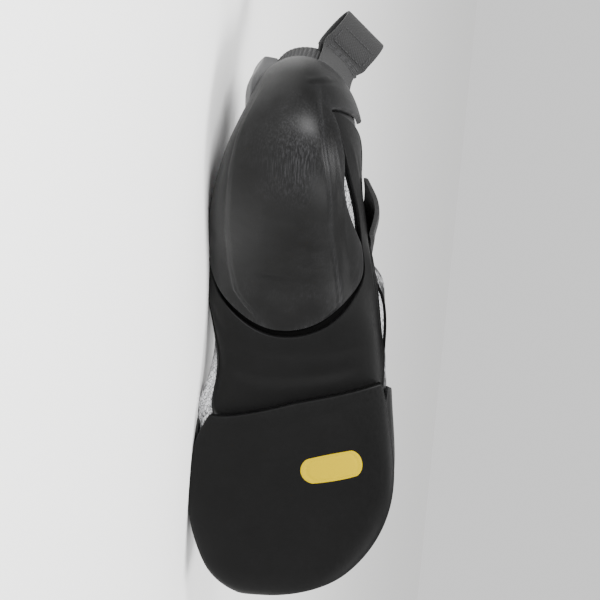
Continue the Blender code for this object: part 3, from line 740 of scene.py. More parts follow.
@dataclass(frozen=True)
class Weight:
    """The shoe's weight on the floor: it presses the lowest skin flat and squashes the rubber there."""

    reach: float = 14.0 * MM
    squash: float = 0.5
    squashed_depth: float = 1.6 * MM
    touch: float = 0.01 * MM

    def press(self, pieces: list[bpy.types.Object]) -> None:
        """Presses the pieces up to the floor, with the layers over the lowest skin carried along.

        Args:
            pieces: All of the shoe's pieces.
        """
        grids = []
        for piece in pieces:
            points = np.empty(3 * len(piece.data.vertices))
            piece.data.vertices.foreach_get("co", points)
            grids.append(points.reshape(-1, 3))
        corners = np.concatenate(grids)
        faces = []
        start = 0
        for piece, points in zip(pieces, grids):
            low = points[:, 2] < self.reach
            faces.extend(
                [start + corner for corner in face.vertices] for face in piece.data.polygons
                if low[face.vertices[0]])
            start += len(points)
        skin_tree = BVHTree.FromPolygons(corners.tolist(), faces)
        below = Vector((0.0, 0.0, 1.0))
        for piece, points in zip(pieces, grids):
            for place in np.nonzero(points[:, 2] < self.reach)[0]:
                x, y, z = points[place]
                hit = skin_tree.ray_cast(Vector((x, y, -self.reach)), below)[0]
                skin = z if hit is None else min(hit.z, z)
                if skin < 0.0:
                    depth = z - skin
                    squashed = 1.0 - self.squash * min(depth / self.squashed_depth, 1.0)
                    points[place, 2] -= skin * squashed * (1.0 - float(smooth_step(depth / self.reach)))
            points[:, 2] = np.where(points[:, 2] < self.touch, 0.0, points[:, 2])
            piece.data.vertices.foreach_set("co", points.ravel())
            piece.data.update()


@dataclass(frozen=True)
class Finish:
    """A procedural finish on a Principled shader."""

    name: str

    def start(self) -> tuple[bpy.types.Material, bpy.types.NodeTree]:
        """Starts the material.

        Returns:
            The material and its node tree.
        """
        made = bpy.data.materials.new(self.name)
        made.use_nodes = True
        return made, made.node_tree


@dataclass(frozen=True)
class Rubber(Finish):
    """Climbing rubber: black, calendered or moulded, sanded where it was glued and dusty where it is touched.

    Carbon black takes up nearly all light, so the shine is weak and broad and only the scuffs are grey; the
    same grey paints highlights on the heel cup. Fine streaks run along the shoe.
    """

    colour: str
    dust_and_highlight: str
    roughness: float
    dust_and_highlight_share: float
    shine: float = 0.2
    streak_mm: float = 0.5
    grain_mm: float = 0.35

    def make(self) -> bpy.types.Material:
        """Makes the material.

        Returns:
            The material.
        """
        made, tree = self.start()
        place = add_node(tree, "ShaderNodeTexCoord", {}).outputs["Object"]
        lengthwise = add_node(tree, "ShaderNodeMapping", {"Vector": place, "Scale": (0.06, 1.0, 1.0)})
        streaks = add_node(tree, "ShaderNodeTexNoise", {
            "Vector": lengthwise.outputs[0], "Scale": 1.0 / (self.streak_mm * MM), "Detail": 3.0,
            "Roughness": 0.6})
        cloud = add_node(tree, "ShaderNodeTexNoise", {
            "Vector": place, "Scale": 1.0 / (14.0 * MM), "Detail": 4.0, "Roughness": 0.62})
        grain = add_node(tree, "ShaderNodeTexNoise", {
            "Vector": place, "Scale": 1.0 / (self.grain_mm * MM), "Detail": 2.0, "Roughness": 0.5})
        worn = add_node(tree, "ShaderNodeAttribute", {}, attribute_name="wear")
        patches = add_node(tree, "ShaderNodeMapRange", {
            "Value": cloud.outputs[0], "From Min": 0.42, "From Max": 0.72, "To Min": 0.0, "To Max": 0.55})
        scratch = add_node(tree, "ShaderNodeMapRange", {
            "Value": streaks.outputs[0], "From Min": 0.45, "From Max": 0.75, "To Min": 0.15, "To Max": 1.0})
        both = add_node(tree, "ShaderNodeMath", {
            0: patches.outputs[0], 1: worn.outputs["Fac"]}, operation="ADD")
        broken = add_node(tree, "ShaderNodeMath", {
            0: both.outputs[0], 1: scratch.outputs[0]}, operation="MULTIPLY")
        dust_and_highlight_mix = add_node(tree, "ShaderNodeMath", {
            0: broken.outputs[0], 1: self.dust_and_highlight_share}, operation="MULTIPLY", use_clamp=True)
        # Dust and scuffs mix the dust colour into the black, and on the heel cup painted highlights do the
        # same.
        colour = add_node(tree, "ShaderNodeMix", {
            0: dust_and_highlight_mix.outputs[0], 6: linear(self.colour), 7: linear(self.dust_and_highlight)}, data_type="RGBA")
        rough = add_node(tree, "ShaderNodeMapRange", {
            "Value": streaks.outputs[0], "From Min": 0.3, "From Max": 0.7,
            "To Min": self.roughness - 0.07, "To Max": self.roughness + 0.09})
        fine = add_node(tree, "ShaderNodeBump", {
            "Height": grain.outputs[0], "Strength": 0.35, "Distance": 0.05 * MM})
        bump = add_node(tree, "ShaderNodeBump", {
            "Height": streaks.outputs[0], "Normal": fine.outputs[0], "Strength": 0.3, "Distance": 0.06 * MM})
        wire(tree, tree.nodes["Principled BSDF"], {
            "Base Color": colour.outputs[2], "Roughness": rough.outputs[0], "Normal": bump.outputs[0],
            "Specular IOR Level": self.shine, "IOR": 1.52, "Metallic": 0.0})
        return made


@dataclass(frozen=True)
class PrintedSynthetic(Finish):
    """Coated microfibre with a silver crackle print over black, pulled tight on the last.

    The print is bright and slightly metallic, and black shows where it has cracked or wasn't printed; under
    the heel cup's wing the black is painted shade. The attribute wear holds how full the print is: -1 is bare
    black, 1 is nearly all silver.
    """

    name: str = "printed_synthetic_crackle"
    silver: str = "#ececee"
    shade: str = "#77787c"
    black: str = "#0d0d0e"
    patch_mm: float = 4.0
    fleck_mm: float = 0.8

    def make(self) -> bpy.types.Material:
        """Makes the material.

        Returns:
            The material.
        """
        made, tree = self.start()
        place = add_node(tree, "ShaderNodeTexCoord", {}).outputs["Object"]
        stretched = add_node(tree, "ShaderNodeMapping", {"Vector": place, "Scale": (0.35, 1.0, 1.0)})
        patches = add_node(tree, "ShaderNodeTexNoise", {
            "Vector": stretched.outputs[0], "Scale": 1.0 / (self.patch_mm * MM), "Detail": 6.0,
            "Roughness": 0.7, "Distortion": 0.6})
        flecks = add_node(tree, "ShaderNodeTexVoronoi", {
            "Vector": stretched.outputs[0], "Scale": 1.0 / (self.fleck_mm * MM)}, feature="DISTANCE_TO_EDGE")
        weave = add_node(tree, "ShaderNodeTexNoise", {
            "Vector": place, "Scale": 1.0 / (0.3 * MM), "Detail": 2.0, "Roughness": 0.6})
        full = add_node(tree, "ShaderNodeAttribute", {}, attribute_name="wear")
        crack = add_node(tree, "ShaderNodeMapRange", {
            "Value": flecks.outputs[0], "From Min": 0.02, "From Max": 0.12, "To Min": 0.0, "To Max": 1.0})
        filled = add_node(tree, "ShaderNodeMath", {
            0: full.outputs["Fac"], 1: 0.16, 2: patches.outputs[0]}, operation="MULTIPLY_ADD")
        area = add_node(tree, "ShaderNodeMapRange", {
            "Value": filled.outputs[0], "From Min": 0.49, "From Max": 0.60, "To Min": 0.0, "To Max": 1.0})
        tone = add_node(tree, "ShaderNodeMix", {
            0: weave.outputs[0], 6: linear(self.shade), 7: linear(self.silver)}, data_type="RGBA")
        printed = add_node(tree, "ShaderNodeMath", {
            0: crack.outputs[0], 1: area.outputs[0]}, operation="MULTIPLY")
        colour = add_node(tree, "ShaderNodeMix", {
            0: printed.outputs[0], 6: linear(self.black), 7: tone.outputs[2]}, data_type="RGBA")
        rough = add_node(tree, "ShaderNodeMapRange", {
            "Value": printed.outputs[0], "From Min": 0.0, "From Max": 1.0, "To Min": 0.62, "To Max": 0.38})
        fine = add_node(tree, "ShaderNodeBump", {
            "Height": weave.outputs[0], "Strength": 0.4, "Distance": 0.06 * MM})
        bump = add_node(tree, "ShaderNodeBump", {
            "Height": printed.outputs[0], "Normal": fine.outputs[0], "Strength": 0.5, "Distance": 0.10 * MM})
        wire(tree, tree.nodes["Principled BSDF"], {
            "Base Color": colour.outputs[2], "Roughness": rough.outputs[0], "Normal": bump.outputs[0],
            "Metallic": 0.15, "IOR": 1.5})
        return made


@dataclass(frozen=True)
class Textile(Finish):
    """A woven or knitted polyester: matt, with a soft sheen at grazing angles and threads that show.

    Threads are drawn across the flat map, thread_mm apart, turned by slant_deg.
    """

    colour: str
    light: str
    thread_mm: float
    slant_deg: float
    depth_mm: float
    roughness: float = 0.85
    sheen: float = 0.25

    def make(self) -> bpy.types.Material:
        """Makes the material.

        Returns:
            The material.
        """
        made, tree = self.start()
        place = add_node(tree, "ShaderNodeTexCoord", {}).outputs["Object"]
        flat = add_node(tree, "ShaderNodeUVMap", {}, uv_map="flat")
        turned = add_node(tree, "ShaderNodeMapping", {
            "Vector": flat.outputs[0], "Rotation": (0.0, 0.0, math.radians(self.slant_deg))})
        # A wave texture's bands repeat every 2 pi / 20 of its scaled coordinate.
        pitch = 2.0 * math.pi / (20.0 * self.thread_mm * MM)
        warp = add_node(tree, "ShaderNodeTexWave", {
            "Vector": turned.outputs[0], "Scale": pitch, "Distortion": 0.6, "Detail": 1.0,
            "Detail Scale": 2.0}, wave_type="BANDS", bands_direction="X")
        weft = add_node(tree, "ShaderNodeTexWave", {
            "Vector": turned.outputs[0], "Scale": 0.7 * pitch, "Distortion": 0.8, "Detail": 1.0},
            wave_type="BANDS", bands_direction="Y")
        fuzz = add_node(tree, "ShaderNodeTexNoise", {
            "Vector": place, "Scale": 1.0 / (0.5 * MM), "Detail": 4.0, "Roughness": 0.7})
        threads = add_node(tree, "ShaderNodeMath", {
            0: weft.outputs["Fac"], 1: 0.5, 2: warp.outputs["Fac"]}, operation="MULTIPLY_ADD")
        shown = add_node(tree, "ShaderNodeMath", {
            0: threads.outputs[0], 1: fuzz.outputs[0]}, operation="MULTIPLY", use_clamp=True)
        colour = add_node(tree, "ShaderNodeMix", {
            0: shown.outputs[0], 6: linear(self.colour), 7: linear(self.light)}, data_type="RGBA")
        bump = add_node(tree, "ShaderNodeBump", {
            "Height": threads.outputs[0], "Strength": 0.7, "Distance": self.depth_mm * MM})
        hairy = add_node(tree, "ShaderNodeBump", {
            "Height": fuzz.outputs[0], "Normal": bump.outputs[0], "Strength": 0.3, "Distance": 0.1 * MM})
        wire(tree, tree.nodes["Principled BSDF"], {
            "Base Color": colour.outputs[2], "Normal": hairy.outputs[0], "Roughness": self.roughness,
            "Sheen Weight": self.sheen, "Sheen Roughness": 0.5, "IOR": 1.5})
        return made


@dataclass(frozen=True)
class Microfibre(Finish):
    """Suede-like microfibre: short nap, patchy where it was brushed, with no clear shine."""

    colour: str
    light: str
    nap_mm: float = 0.5
    roughness: float = 0.9

    def make(self) -> bpy.types.Material:
        """Makes the material.

        Returns:
            The material.
        """
        made, tree = self.start()
        place = add_node(tree, "ShaderNodeTexCoord", {}).outputs["Object"]
        nap = add_node(tree, "ShaderNodeTexNoise", {
            "Vector": place, "Scale": 1.0 / (self.nap_mm * MM), "Detail": 4.0, "Roughness": 0.7})
        brushed = add_node(tree, "ShaderNodeTexNoise", {
            "Vector": place, "Scale": 1.0 / (9.0 * MM), "Detail": 3.0, "Roughness": 0.6})
        shown = add_node(tree, "ShaderNodeMath", {
            0: nap.outputs[0], 1: brushed.outputs[0]}, operation="MULTIPLY")
        spread = add_node(tree, "ShaderNodeMapRange", {
            "Value": shown.outputs[0], "From Min": 0.12, "From Max": 0.40, "To Min": 0.0, "To Max": 1.0})
        colour = add_node(tree, "ShaderNodeMix", {
            0: spread.outputs[0], 6: linear(self.colour), 7: linear(self.light)}, data_type="RGBA")
        bump = add_node(tree, "ShaderNodeBump", {
            "Height": nap.outputs[0], "Strength": 0.5, "Distance": 0.12 * MM})
        wire(tree, tree.nodes["Principled BSDF"], {
            "Base Color": colour.outputs[2], "Normal": bump.outputs[0], "Roughness": self.roughness,
            "Sheen Weight": 0.3, "IOR": 1.5})
        return made


@dataclass(frozen=True)
class Paper(Finish):
    """Matt background paper."""

    colour: str = "#f4f4f3"
    roughness: float = 0.95

    def make(self) -> bpy.types.Material:
        """Makes the material.

        Returns:
            The material.
        """
        made, tree = self.start()
        wire(tree, tree.nodes["Principled BSDF"], {
            "Base Color": linear(self.colour), "Roughness": self.roughness})
        return made


@dataclass(frozen=True)
class Finishes:
    """Every finish of the shoe."""

    print_: bpy.types.Material
    lining: bpy.types.Material
    binding: bpy.types.Material
    board: bpy.types.Material
    tongue: bpy.types.Material
    knit: bpy.types.Material
    toe: bpy.types.Material
    sole: bpy.types.Material
    sling: bpy.types.Material
    cup: bpy.types.Material
    seam: bpy.types.Material
    strap: bpy.types.Material
    webbing: bpy.types.Material
    thread: bpy.types.Material
    inlay: bpy.types.Material


def make_finishes() -> Finishes:
    """Makes every finish of the shoe.

    Returns:
        The finishes.
    """
    return Finishes(
        # Coated microfibre, printed: bright silver with black where the print has cracked.
        print_=PrintedSynthetic().make(),
        # Brushed polyester knit: dull and soft, seen only inside the collar.
        lining=Textile("brushed_lining_knit", "#1b1b1c", "#3a3a3c", 0.7, 45.0, 0.05).make(),
        # Suede-like microfibre: a short nap and no shine, on the facings and the collar.
        binding=Microfibre("binding_microfibre", "#0e0e0f", "#29292b").make(),
        # Split leather: pale brown and a little hairy, seen through the collar.
        board=Microfibre("insole_split_leather", "#6d6250", "#8f8470", 0.7).make(),
        # Spacer mesh, knitted: slanted rows of small dark cells.
        tongue=Textile("tongue_spacer_mesh", "#0b0b0c", "#242426", 1.4, 45.0, 0.25).make(),
        # Rib knit: near black and matt; its ribs are modelled.
        knit=Textile("collar_rib_knit", "#060607", "#1b1b1d", 0.6, 0.0, 0.08, 0.9, 0.04).make(),
        # Rubber from a matt mould: a weak broad shine, grey where it is touched.
        toe=Rubber("toe_rubber_moulded_matt", "#080808", "#454547", 0.50, 0.24, 0.14).make(),
        # Calendered sheet rubber: near black, with fine streaks along the shoe.
        sole=Rubber("outsole_rubber_calendered", "#050505", "#323234", 0.46, 0.10, 0.10).make(),
        sling=Rubber("sling_rubber_calendered", "#060606", "#343436", 0.50, 0.10, 0.10).make(),
        # Moulded and scuffed: a tighter shine than the sheets, grey streaks on the heel, and painted
        # highlights in the same grey on its back, beads and inner side.
        cup=Rubber("heel_rubber_moulded_scuffed", "#080808", "#4a4a4c", 0.42, 0.30, 0.13).make(),
        # Rubber that no light reaches: without shine, so the seam reads as a gap.
        seam=Rubber("seam_rubber_in_shade", "#030303", "#0a0a0a", 0.85, 0.05, 0.05).make(),
        # Woven webbing: dull, with its threads as a fine grain.
        strap=Textile("strap_webbing_woven", "#050505", "#121213", 0.9, 0.0, 0.10, 0.9, 0.03).make(),
        webbing=Textile("pull_loop_webbing_woven", "#070707", "#1c1c1d", 0.9, 32.0, 0.16, 0.9, 0.03).make(),
        # Bonded thread: smoother than the webbing around it, so the stitches stand out.
        thread=Textile("bonded_polyester_thread", "#0a0a0b", "#1e1e20", 0.3, 60.0, 0.04, 0.7, 0.03).make(),
        # Coloured rubber, moulded: an even yellow, nearly without dust.
        inlay=Rubber("yellow_rubber_inlay", "#a08a00", "#947f00", 0.7, 0.1, 0.04).make(),
    )


@dataclass
class Upper:
    """The lasted upper with its throat, lining, facings along the throat and seams."""

    last: Last
    wall: float = WALL
    throat_start: float = THROAT[0][0]
    throat_round: float = 0.8
    sole_opening: tuple[float, float] = (3.8, 9.0)
    sole_opening_half: float = 0.43
    facing_thickness: float = 0.7 * MM
    facing_rest: float = 0.05 * MM
    facing_edge: float = 0.5 * MM
    facing_width: float = 0.26
    facing_narrow: float = 0.55
    facing_ahead: float = 0.7
    facing_short: float = 0.1
    throat_least: float = 0.012
    edge_round: float = 0.8 * MM
    per_around: float = 40.0 * MM
    per_station: float = 10.0 * MM
    seam: Seam = Seam(2.2 * MM, 0.9 * MM, 0.22 * MM)
    seam_rise: float = 0.12 * MM
    seam_shares: tuple[float, float] = (0.16, 0.80)
    throat: Table = THROAT
    # The field at station 17.5 is painted shade: bare black under the heel cup's wing.
    print_and_painted_shade_fields: Table = (
        # station, around, reach in station, reach in around, how full
        (8.3, 0.75, 1.5, 0.42, 1.0), (14.2, -0.62, 2.4, 0.14, 1.0), (10.3, -0.76, 1.2, 0.16, 0.9),
        (12.6, -1.02, 1.1, 0.26, -1.0), (17.5, -0.68, 1.1, 0.30, -1.5), (11.6, 0.90, 1.6, 0.30, -1.0),
    )
    creases: tuple[Crease, ...] = (
        Crease(((10.2, 1.12), (9.4, 1.04), (8.8, 0.97), (8.2, 0.90), (7.6, 0.86)), 6.5 * MM, 1.7 * MM),
        Crease(((9.4, 0.62), (8.7, 0.60), (8.0, 0.60), (7.3, 0.62)), 0.9 * MM, 0.45 * MM),
        Crease(((9.4, 0.70), (8.7, 0.68), (8.0, 0.68), (7.3, 0.70)), 0.8 * MM, -0.45 * MM),
        Crease(((9.1, 0.54), (8.5, 0.51), (7.9, 0.50)), 0.8 * MM, -0.35 * MM),
        Crease(((9.6, 0.86), (8.8, 0.94), (8.0, 0.98), (7.4, 0.92)), 1.6 * MM, -0.7 * MM),
        Crease(((10.2, 0.98), (9.2, 1.05), (8.2, 1.12), (7.5, 1.10)), 2.0 * MM, 0.7 * MM),
        Crease(((10.0, 1.12), (9.0, 1.20), (8.0, 1.26)), 1.8 * MM, -0.6 * MM),
        Crease(((9.4, 0.78), (8.6, 0.86), (7.9, 0.90), (7.4, 0.86)), 1.2 * MM, 0.5 * MM),
        Crease(((7.2, 1.25), (7.0, 1.55), (6.9, 1.80), (6.95, -1.85), (7.2, -1.5)), 3.0 * MM, -0.5 * MM),
        Crease(((11.6, -1.45), (10.8, -1.25), (10.0, -1.05), (9.2, -0.95)), 2.2 * MM, -0.6 * MM),
        Crease(((12.4, -1.35), (11.4, -1.10), (10.6, -0.90)), 1.8 * MM, 0.5 * MM),
        Crease(((16.8, 1.05), (17.4, 1.25), (17.8, 1.45)), 2.2 * MM, -0.6 * MM),
        Crease(((16.6, -1.15), (17.3, -1.30), (17.9, -1.45)), 2.2 * MM, -0.6 * MM),
    )

    def edge(self, station: Array) -> Array:
        """Gives how far from the instep's middle line the throat's edge lies, in around."""
        opened = rounded((station - self.throat_start) / self.throat_round)
        return np.maximum(column_of(self.throat, station) * opened, self.throat_least)

    def build(self, finishes: Finishes) -> None:
        """Builds and dresses the upper.

        Args:
            finishes: The shoe's finishes.
        """
        stations = np.concatenate((
            np.linspace(0.0, self.throat_start, 64)[:-1],
            self.throat_start + self.throat_round * crowded(12)[:-1] ** 2,
            self.throat_start + self.throat_round
            + (self.last.collar - self.throat_start - self.throat_round) * crowded_end(110)))
        lower = np.linspace(0.0, 1.0, 41)
        top = 1.0 - self.edge(stations)[:, None]
        side = np.concatenate((lower[None, :] + 0.0 * top, 1.0 + top * crowded_end(44)[None, 1:]), axis=1)
        around = np.concatenate((-side[:, :0:-1], side, np.full((len(stations), 1), 2.0)), axis=1)
        keep = np.ones((len(stations) - 1, around.shape[1]), bool)
        keep[stations[:-1] >= self.throat_start - 1e-9, -2:] = False
        under = (stations[:-1] >= self.sole_opening[0]) & (stations[1:] <= self.sole_opening[1])
        half = int(np.searchsorted(lower, self.sole_opening_half))
        middle = side.shape[1] - 1
        keep[under, middle - half:middle + half] = False
        station = stations[:, None] + 0.0 * around
        seat = self.last.at(station, around)
        relief = np.zeros(station.shape)
        for crease in self.creases:
            relief += crease.height(self.last, seat)
        near_throat = np.where(station >= self.throat_start, 2.0 - self.edge(station) - np.abs(around), 1.0)
        near_collar = self.last.collar - station
        open_edge = np.minimum(near_throat * self.per_around, near_collar * self.per_station)
        rounding = 1.0 - rounded(open_edge / MM)
        covered = smooth_step((open_edge - MM) / (4.0 * MM))
        outer = self.last.at(station, around, relief * covered - self.edge_round * rounding)
        inner = self.last.at(station, around, -self.wall)
        flat = np.stack((station * MAP_STATION, around * MAP_AROUND), axis=-1)
        print_fill_and_painted_shade = np.zeros(station.shape)
        for middle, place, long_reach, side_reach, amount in self.print_and_painted_shade_fields:
            far = ((station - middle) / long_reach) ** 2 + ((around - place) / side_reach) ** 2
            print_fill_and_painted_shade += amount * smooth_step(2.0 * (1.0 - np.sqrt(far)))
        skin = shell(outer, inner, flat, print_fill_and_painted_shade, keep, True, True, True)
        piece = skin.make("upper_shell", finishes.print_, finishes.lining)
        present(piece, "printed_synthetic", "upper")
        for side_of in Side:
            self.build_facing(side_of, finishes)

    def build_facing(self, side: Side, finishes: Finishes) -> None:
        """Builds the microfibre facing along one side of the throat, with its two rows of stitches.

        Args:
            side: Which side of the foot.
            finishes: The shoe's finishes.
        """
        length = self.last.collar - self.throat_start + self.facing_ahead - self.facing_short
        station = (self.throat_start - self.facing_ahead + length * crowded(120))[:, None]
        share = crowded(22)[None, :]
        start = 2.0 - self.edge(station) - self.throat_least
        widened = smooth_step((station - self.throat_start) / 3.0)
        width = self.facing_width * (self.facing_narrow + (1.0 - self.facing_narrow) * widened)
        around = side.value * (start - width * share)
        layer = Layer(self.last, self.facing_rest, self.facing_thickness, self.facing_edge)
        skin = layer.skin(station, around)
        name = side.name.lower()
        present(skin.make(f"throat_facing_{name}", finishes.binding), "tongue_fabric")
        for row, place in enumerate(self.seam_shares):
            run = np.linspace(self.throat_start + 0.2, self.last.collar - 0.5, 300)
            inset = place * np.interp(run, station[:, 0], width[:, 0])
            lane = 2.0 - self.edge(run) - self.throat_least - inset
            face = self.facing_rest + self.facing_thickness + self.seam_rise
            line = self.last.at(run, side.value * lane, face)
            piece = self.seam.sew(line).make(f"facing_stitches_{name}_{row}", finishes.thread)
            present(piece, "tongue_fabric")


@dataclass
class Insole:
    """The insole board, seen through the collar."""

    last: Last
    wall: float = WALL
    gap: float = FIT_GAP
    thickness: float = 2.0 * MM
    start: float = 1.6
    end: float = 15.4
    half: float = 0.47

    def build(self, finishes: Finishes) -> None:
        """Builds and dresses the board.

        Args:
            finishes: The shoe's finishes.
        """
        station = (self.start + (self.end - self.start) * crowded(90))[:, None]
        around = self.half * (2.0 * crowded(36) - 1.0)[None, :]
        height = -self.wall - self.gap
        outer = self.last.at(station, around, height - self.thickness)
        under = self.last.at(station, around, height)
        flat = np.stack(np.broadcast_arrays(station * MAP_STATION, around * MAP_AROUND), axis=-1)
        skin = shell(outer, under, flat, np.zeros(outer.shape[:2]))
        present(skin.make("insole_board", finishes.board), "insole_board", "insole")


@dataclass
class Tongue:
    """The thin stretch tongue under the throat."""

    last: Last
    wall: float = WALL
    gap: float = FIT_GAP
    thickness: float = 2.2 * MM
    edge_radius: float = 0.9 * MM
    edge_wall: float = 0.3
    start: float = 7.2
    end: float = 20.9
    overlap: float = 0.22
    throat: Table = THROAT
    creases: tuple[Crease, ...] = (
        Crease(((9.2, 1.85), (9.3, 2.0), (9.2, 2.15)), 1.6 * MM, -0.4 * MM),
        Crease(((10.6, 1.82), (10.8, 2.0), (10.6, 2.18)), 1.6 * MM, -0.4 * MM),
    )

    def build(self, finishes: Finishes) -> None:
        """Builds and dresses the tongue.

        Args:
            finishes: The shoe's finishes.
        """
        station = (self.start + (self.end - self.start) * crowded(150))[:, None]
        half = self.overlap + column_of(self.throat, station)
        around = 2.0 + half * (2.0 * crowded(60) - 1.0)[None, :]
        rest = -self.wall - self.gap - self.thickness
        layer = Layer(self.last, rest, self.thickness, self.edge_radius, self.edge_wall, self.creases)
        skin = layer.skin(station + 0.0 * around, around)
        present(skin.make("tongue_panel", finishes.tongue), "tongue_fabric", "tongue")


@dataclass
class CollarCuff:
    """The ribbed knit cuff inside the collar, with real ribs."""

    last: Last
    wall: float = WALL
    gap: float = FIT_GAP
    thickness: float = CUFF
    edge_radius: float = 0.7 * MM
    edge_wall: float = 0.3
    start: float = 18.0
    end: float = 21.0
    heel_rise: float = 0.55
    rise_half: float = 0.25
    rise_fade: float = 0.5
    reach: float = 1.32
    rib_mm: float = 1.7
    rib_depth: float = 0.45 * MM
    rib_power: float = 0.6

    def build(self, finishes: Finishes) -> None:
        """Builds and dresses the cuff.

        Args:
            finishes: The shoe's finishes.
        """
        around = np.linspace(-self.reach, self.reach, 560)[None, :]
        beside = smooth_step((np.abs(around) - self.rise_half) / self.rise_fade)
        end = self.end + self.heel_rise * (1.0 - beside)
        station = self.start + (end - self.start) * crowded(30)[:, None]
        base = -self.wall - self.gap
        middle = self.last.at(0.5 * (self.start + self.end), around, base)
        way = lengths_along(middle, 1)
        ribs = 0.5 - 0.5 * np.cos(2.0 * math.pi * way / (self.rib_mm * MM))
        rest, thickness = base - self.thickness, self.thickness - self.rib_depth
        layer = Layer(self.last, rest, thickness, self.edge_radius, self.edge_wall)
        skin = layer.skin(station, around, self.rib_depth * np.abs(ribs) ** self.rib_power)
        present(skin.make("collar_rib_cuff", finishes.knit), "ribbed_knit", "collar_cuff")


@dataclass
class CollarBand:
    """The padded band of the inner collar, which stands a little open beside the heel."""

    last: Last
    rest: float = 0.3 * MM
    thickness: float = 1.4 * MM
    edge_radius: float = 0.8 * MM
    flare: float = 3.6 * MM
    flare_length: float = 1.6
    flare_share: float = 0.8
    rows: Table = (
        # station, edge beside the heel, edge towards the instep
        (17.3, 0.66, 0.72), (17.65, 0.58, 0.80), (18.3, 0.52, 0.86), (19.0, 0.46, 0.88), (19.9, 0.38, 0.88),
        (20.5, 0.33, 0.86),
    )

    def build(self, finishes: Finishes) -> None:
        """Builds and dresses the band.

        Args:
            finishes: The shoe's finishes.
        """
        start, end = self.rows[0][0], self.rows[-1][0]
        station = start + (end - start) * crowded(60)[:, None]
        near = column_of(self.rows, station)
        share = crowded(36)[None, :]
        around = near + (column_of(self.rows, station, 2) - near) * share
        standing = self.flare * smooth_step((station - start) / self.flare_length)
        standing = standing * smooth_step((1.0 - share) / self.flare_share)
        layer = Layer(self.last, self.rest, self.thickness, self.edge_radius)
        skin = layer.skin(station, around, standing)
        present(skin.make("collar_band_inner", finishes.binding), "printed_synthetic")


@dataclass
class ToeCap:
    """The moulded toe rand and cap, one piece round the toes."""

    last: Last
    rest: float = RUBBER_REST
    thickness: float = RAND
    edge_radius: float = 0.8 * MM
    edge: Table = (
        # around, station
        (-2.0, 4.7), (-1.6, 5.2), (-1.3, 6.8), (-1.05, 8.4), (-0.85, 8.7), (-0.7, 8.4), (-0.5, 7.9),
        (-0.2, 7.6), (0.3, 7.4), (0.6, 7.4), (0.85, 7.7), (1.1, 7.3), (1.35, 6.2), (1.6, 5.2), (2.0, 4.7),
    )
    creases: tuple[Crease, ...] = (
        Crease(((2.4, 1.35), (2.2, 1.7), (2.2, 2.0), (2.2, 2.3), (2.4, 2.65)), 0.9 * MM, 0.35 * MM),
        Crease(((3.2, 1.30), (3.0, 1.7), (3.0, 2.0), (3.0, 2.3), (3.2, 2.70)), 0.9 * MM, 0.35 * MM),
        Crease(((4.0, 1.28), (3.8, 1.7), (3.8, 2.0), (3.8, 2.3), (4.0, 2.72)), 0.9 * MM, 0.35 * MM),
    )

    def build(self, finishes: Finishes) -> None:
        """Builds and dresses the cap.

        Args:
            finishes: The shoe's finishes.
        """
        around = np.linspace(-2.0, 2.0, 281)[None, :-1]
        rear = column_of(self.edge, around)
        share = crowded_end(110)[:, None]
        layer = Layer(
            self.last, self.rest, self.thickness, self.edge_radius, creases=self.creases, ends=Ends.LAST)
        skin = layer.skin(rear * share, around + 0.0 * share, 0.0, True, True)
        present(skin.make("toe_rand_cap", finishes.toe), "moulded_toe_rubber", "toe_cap")


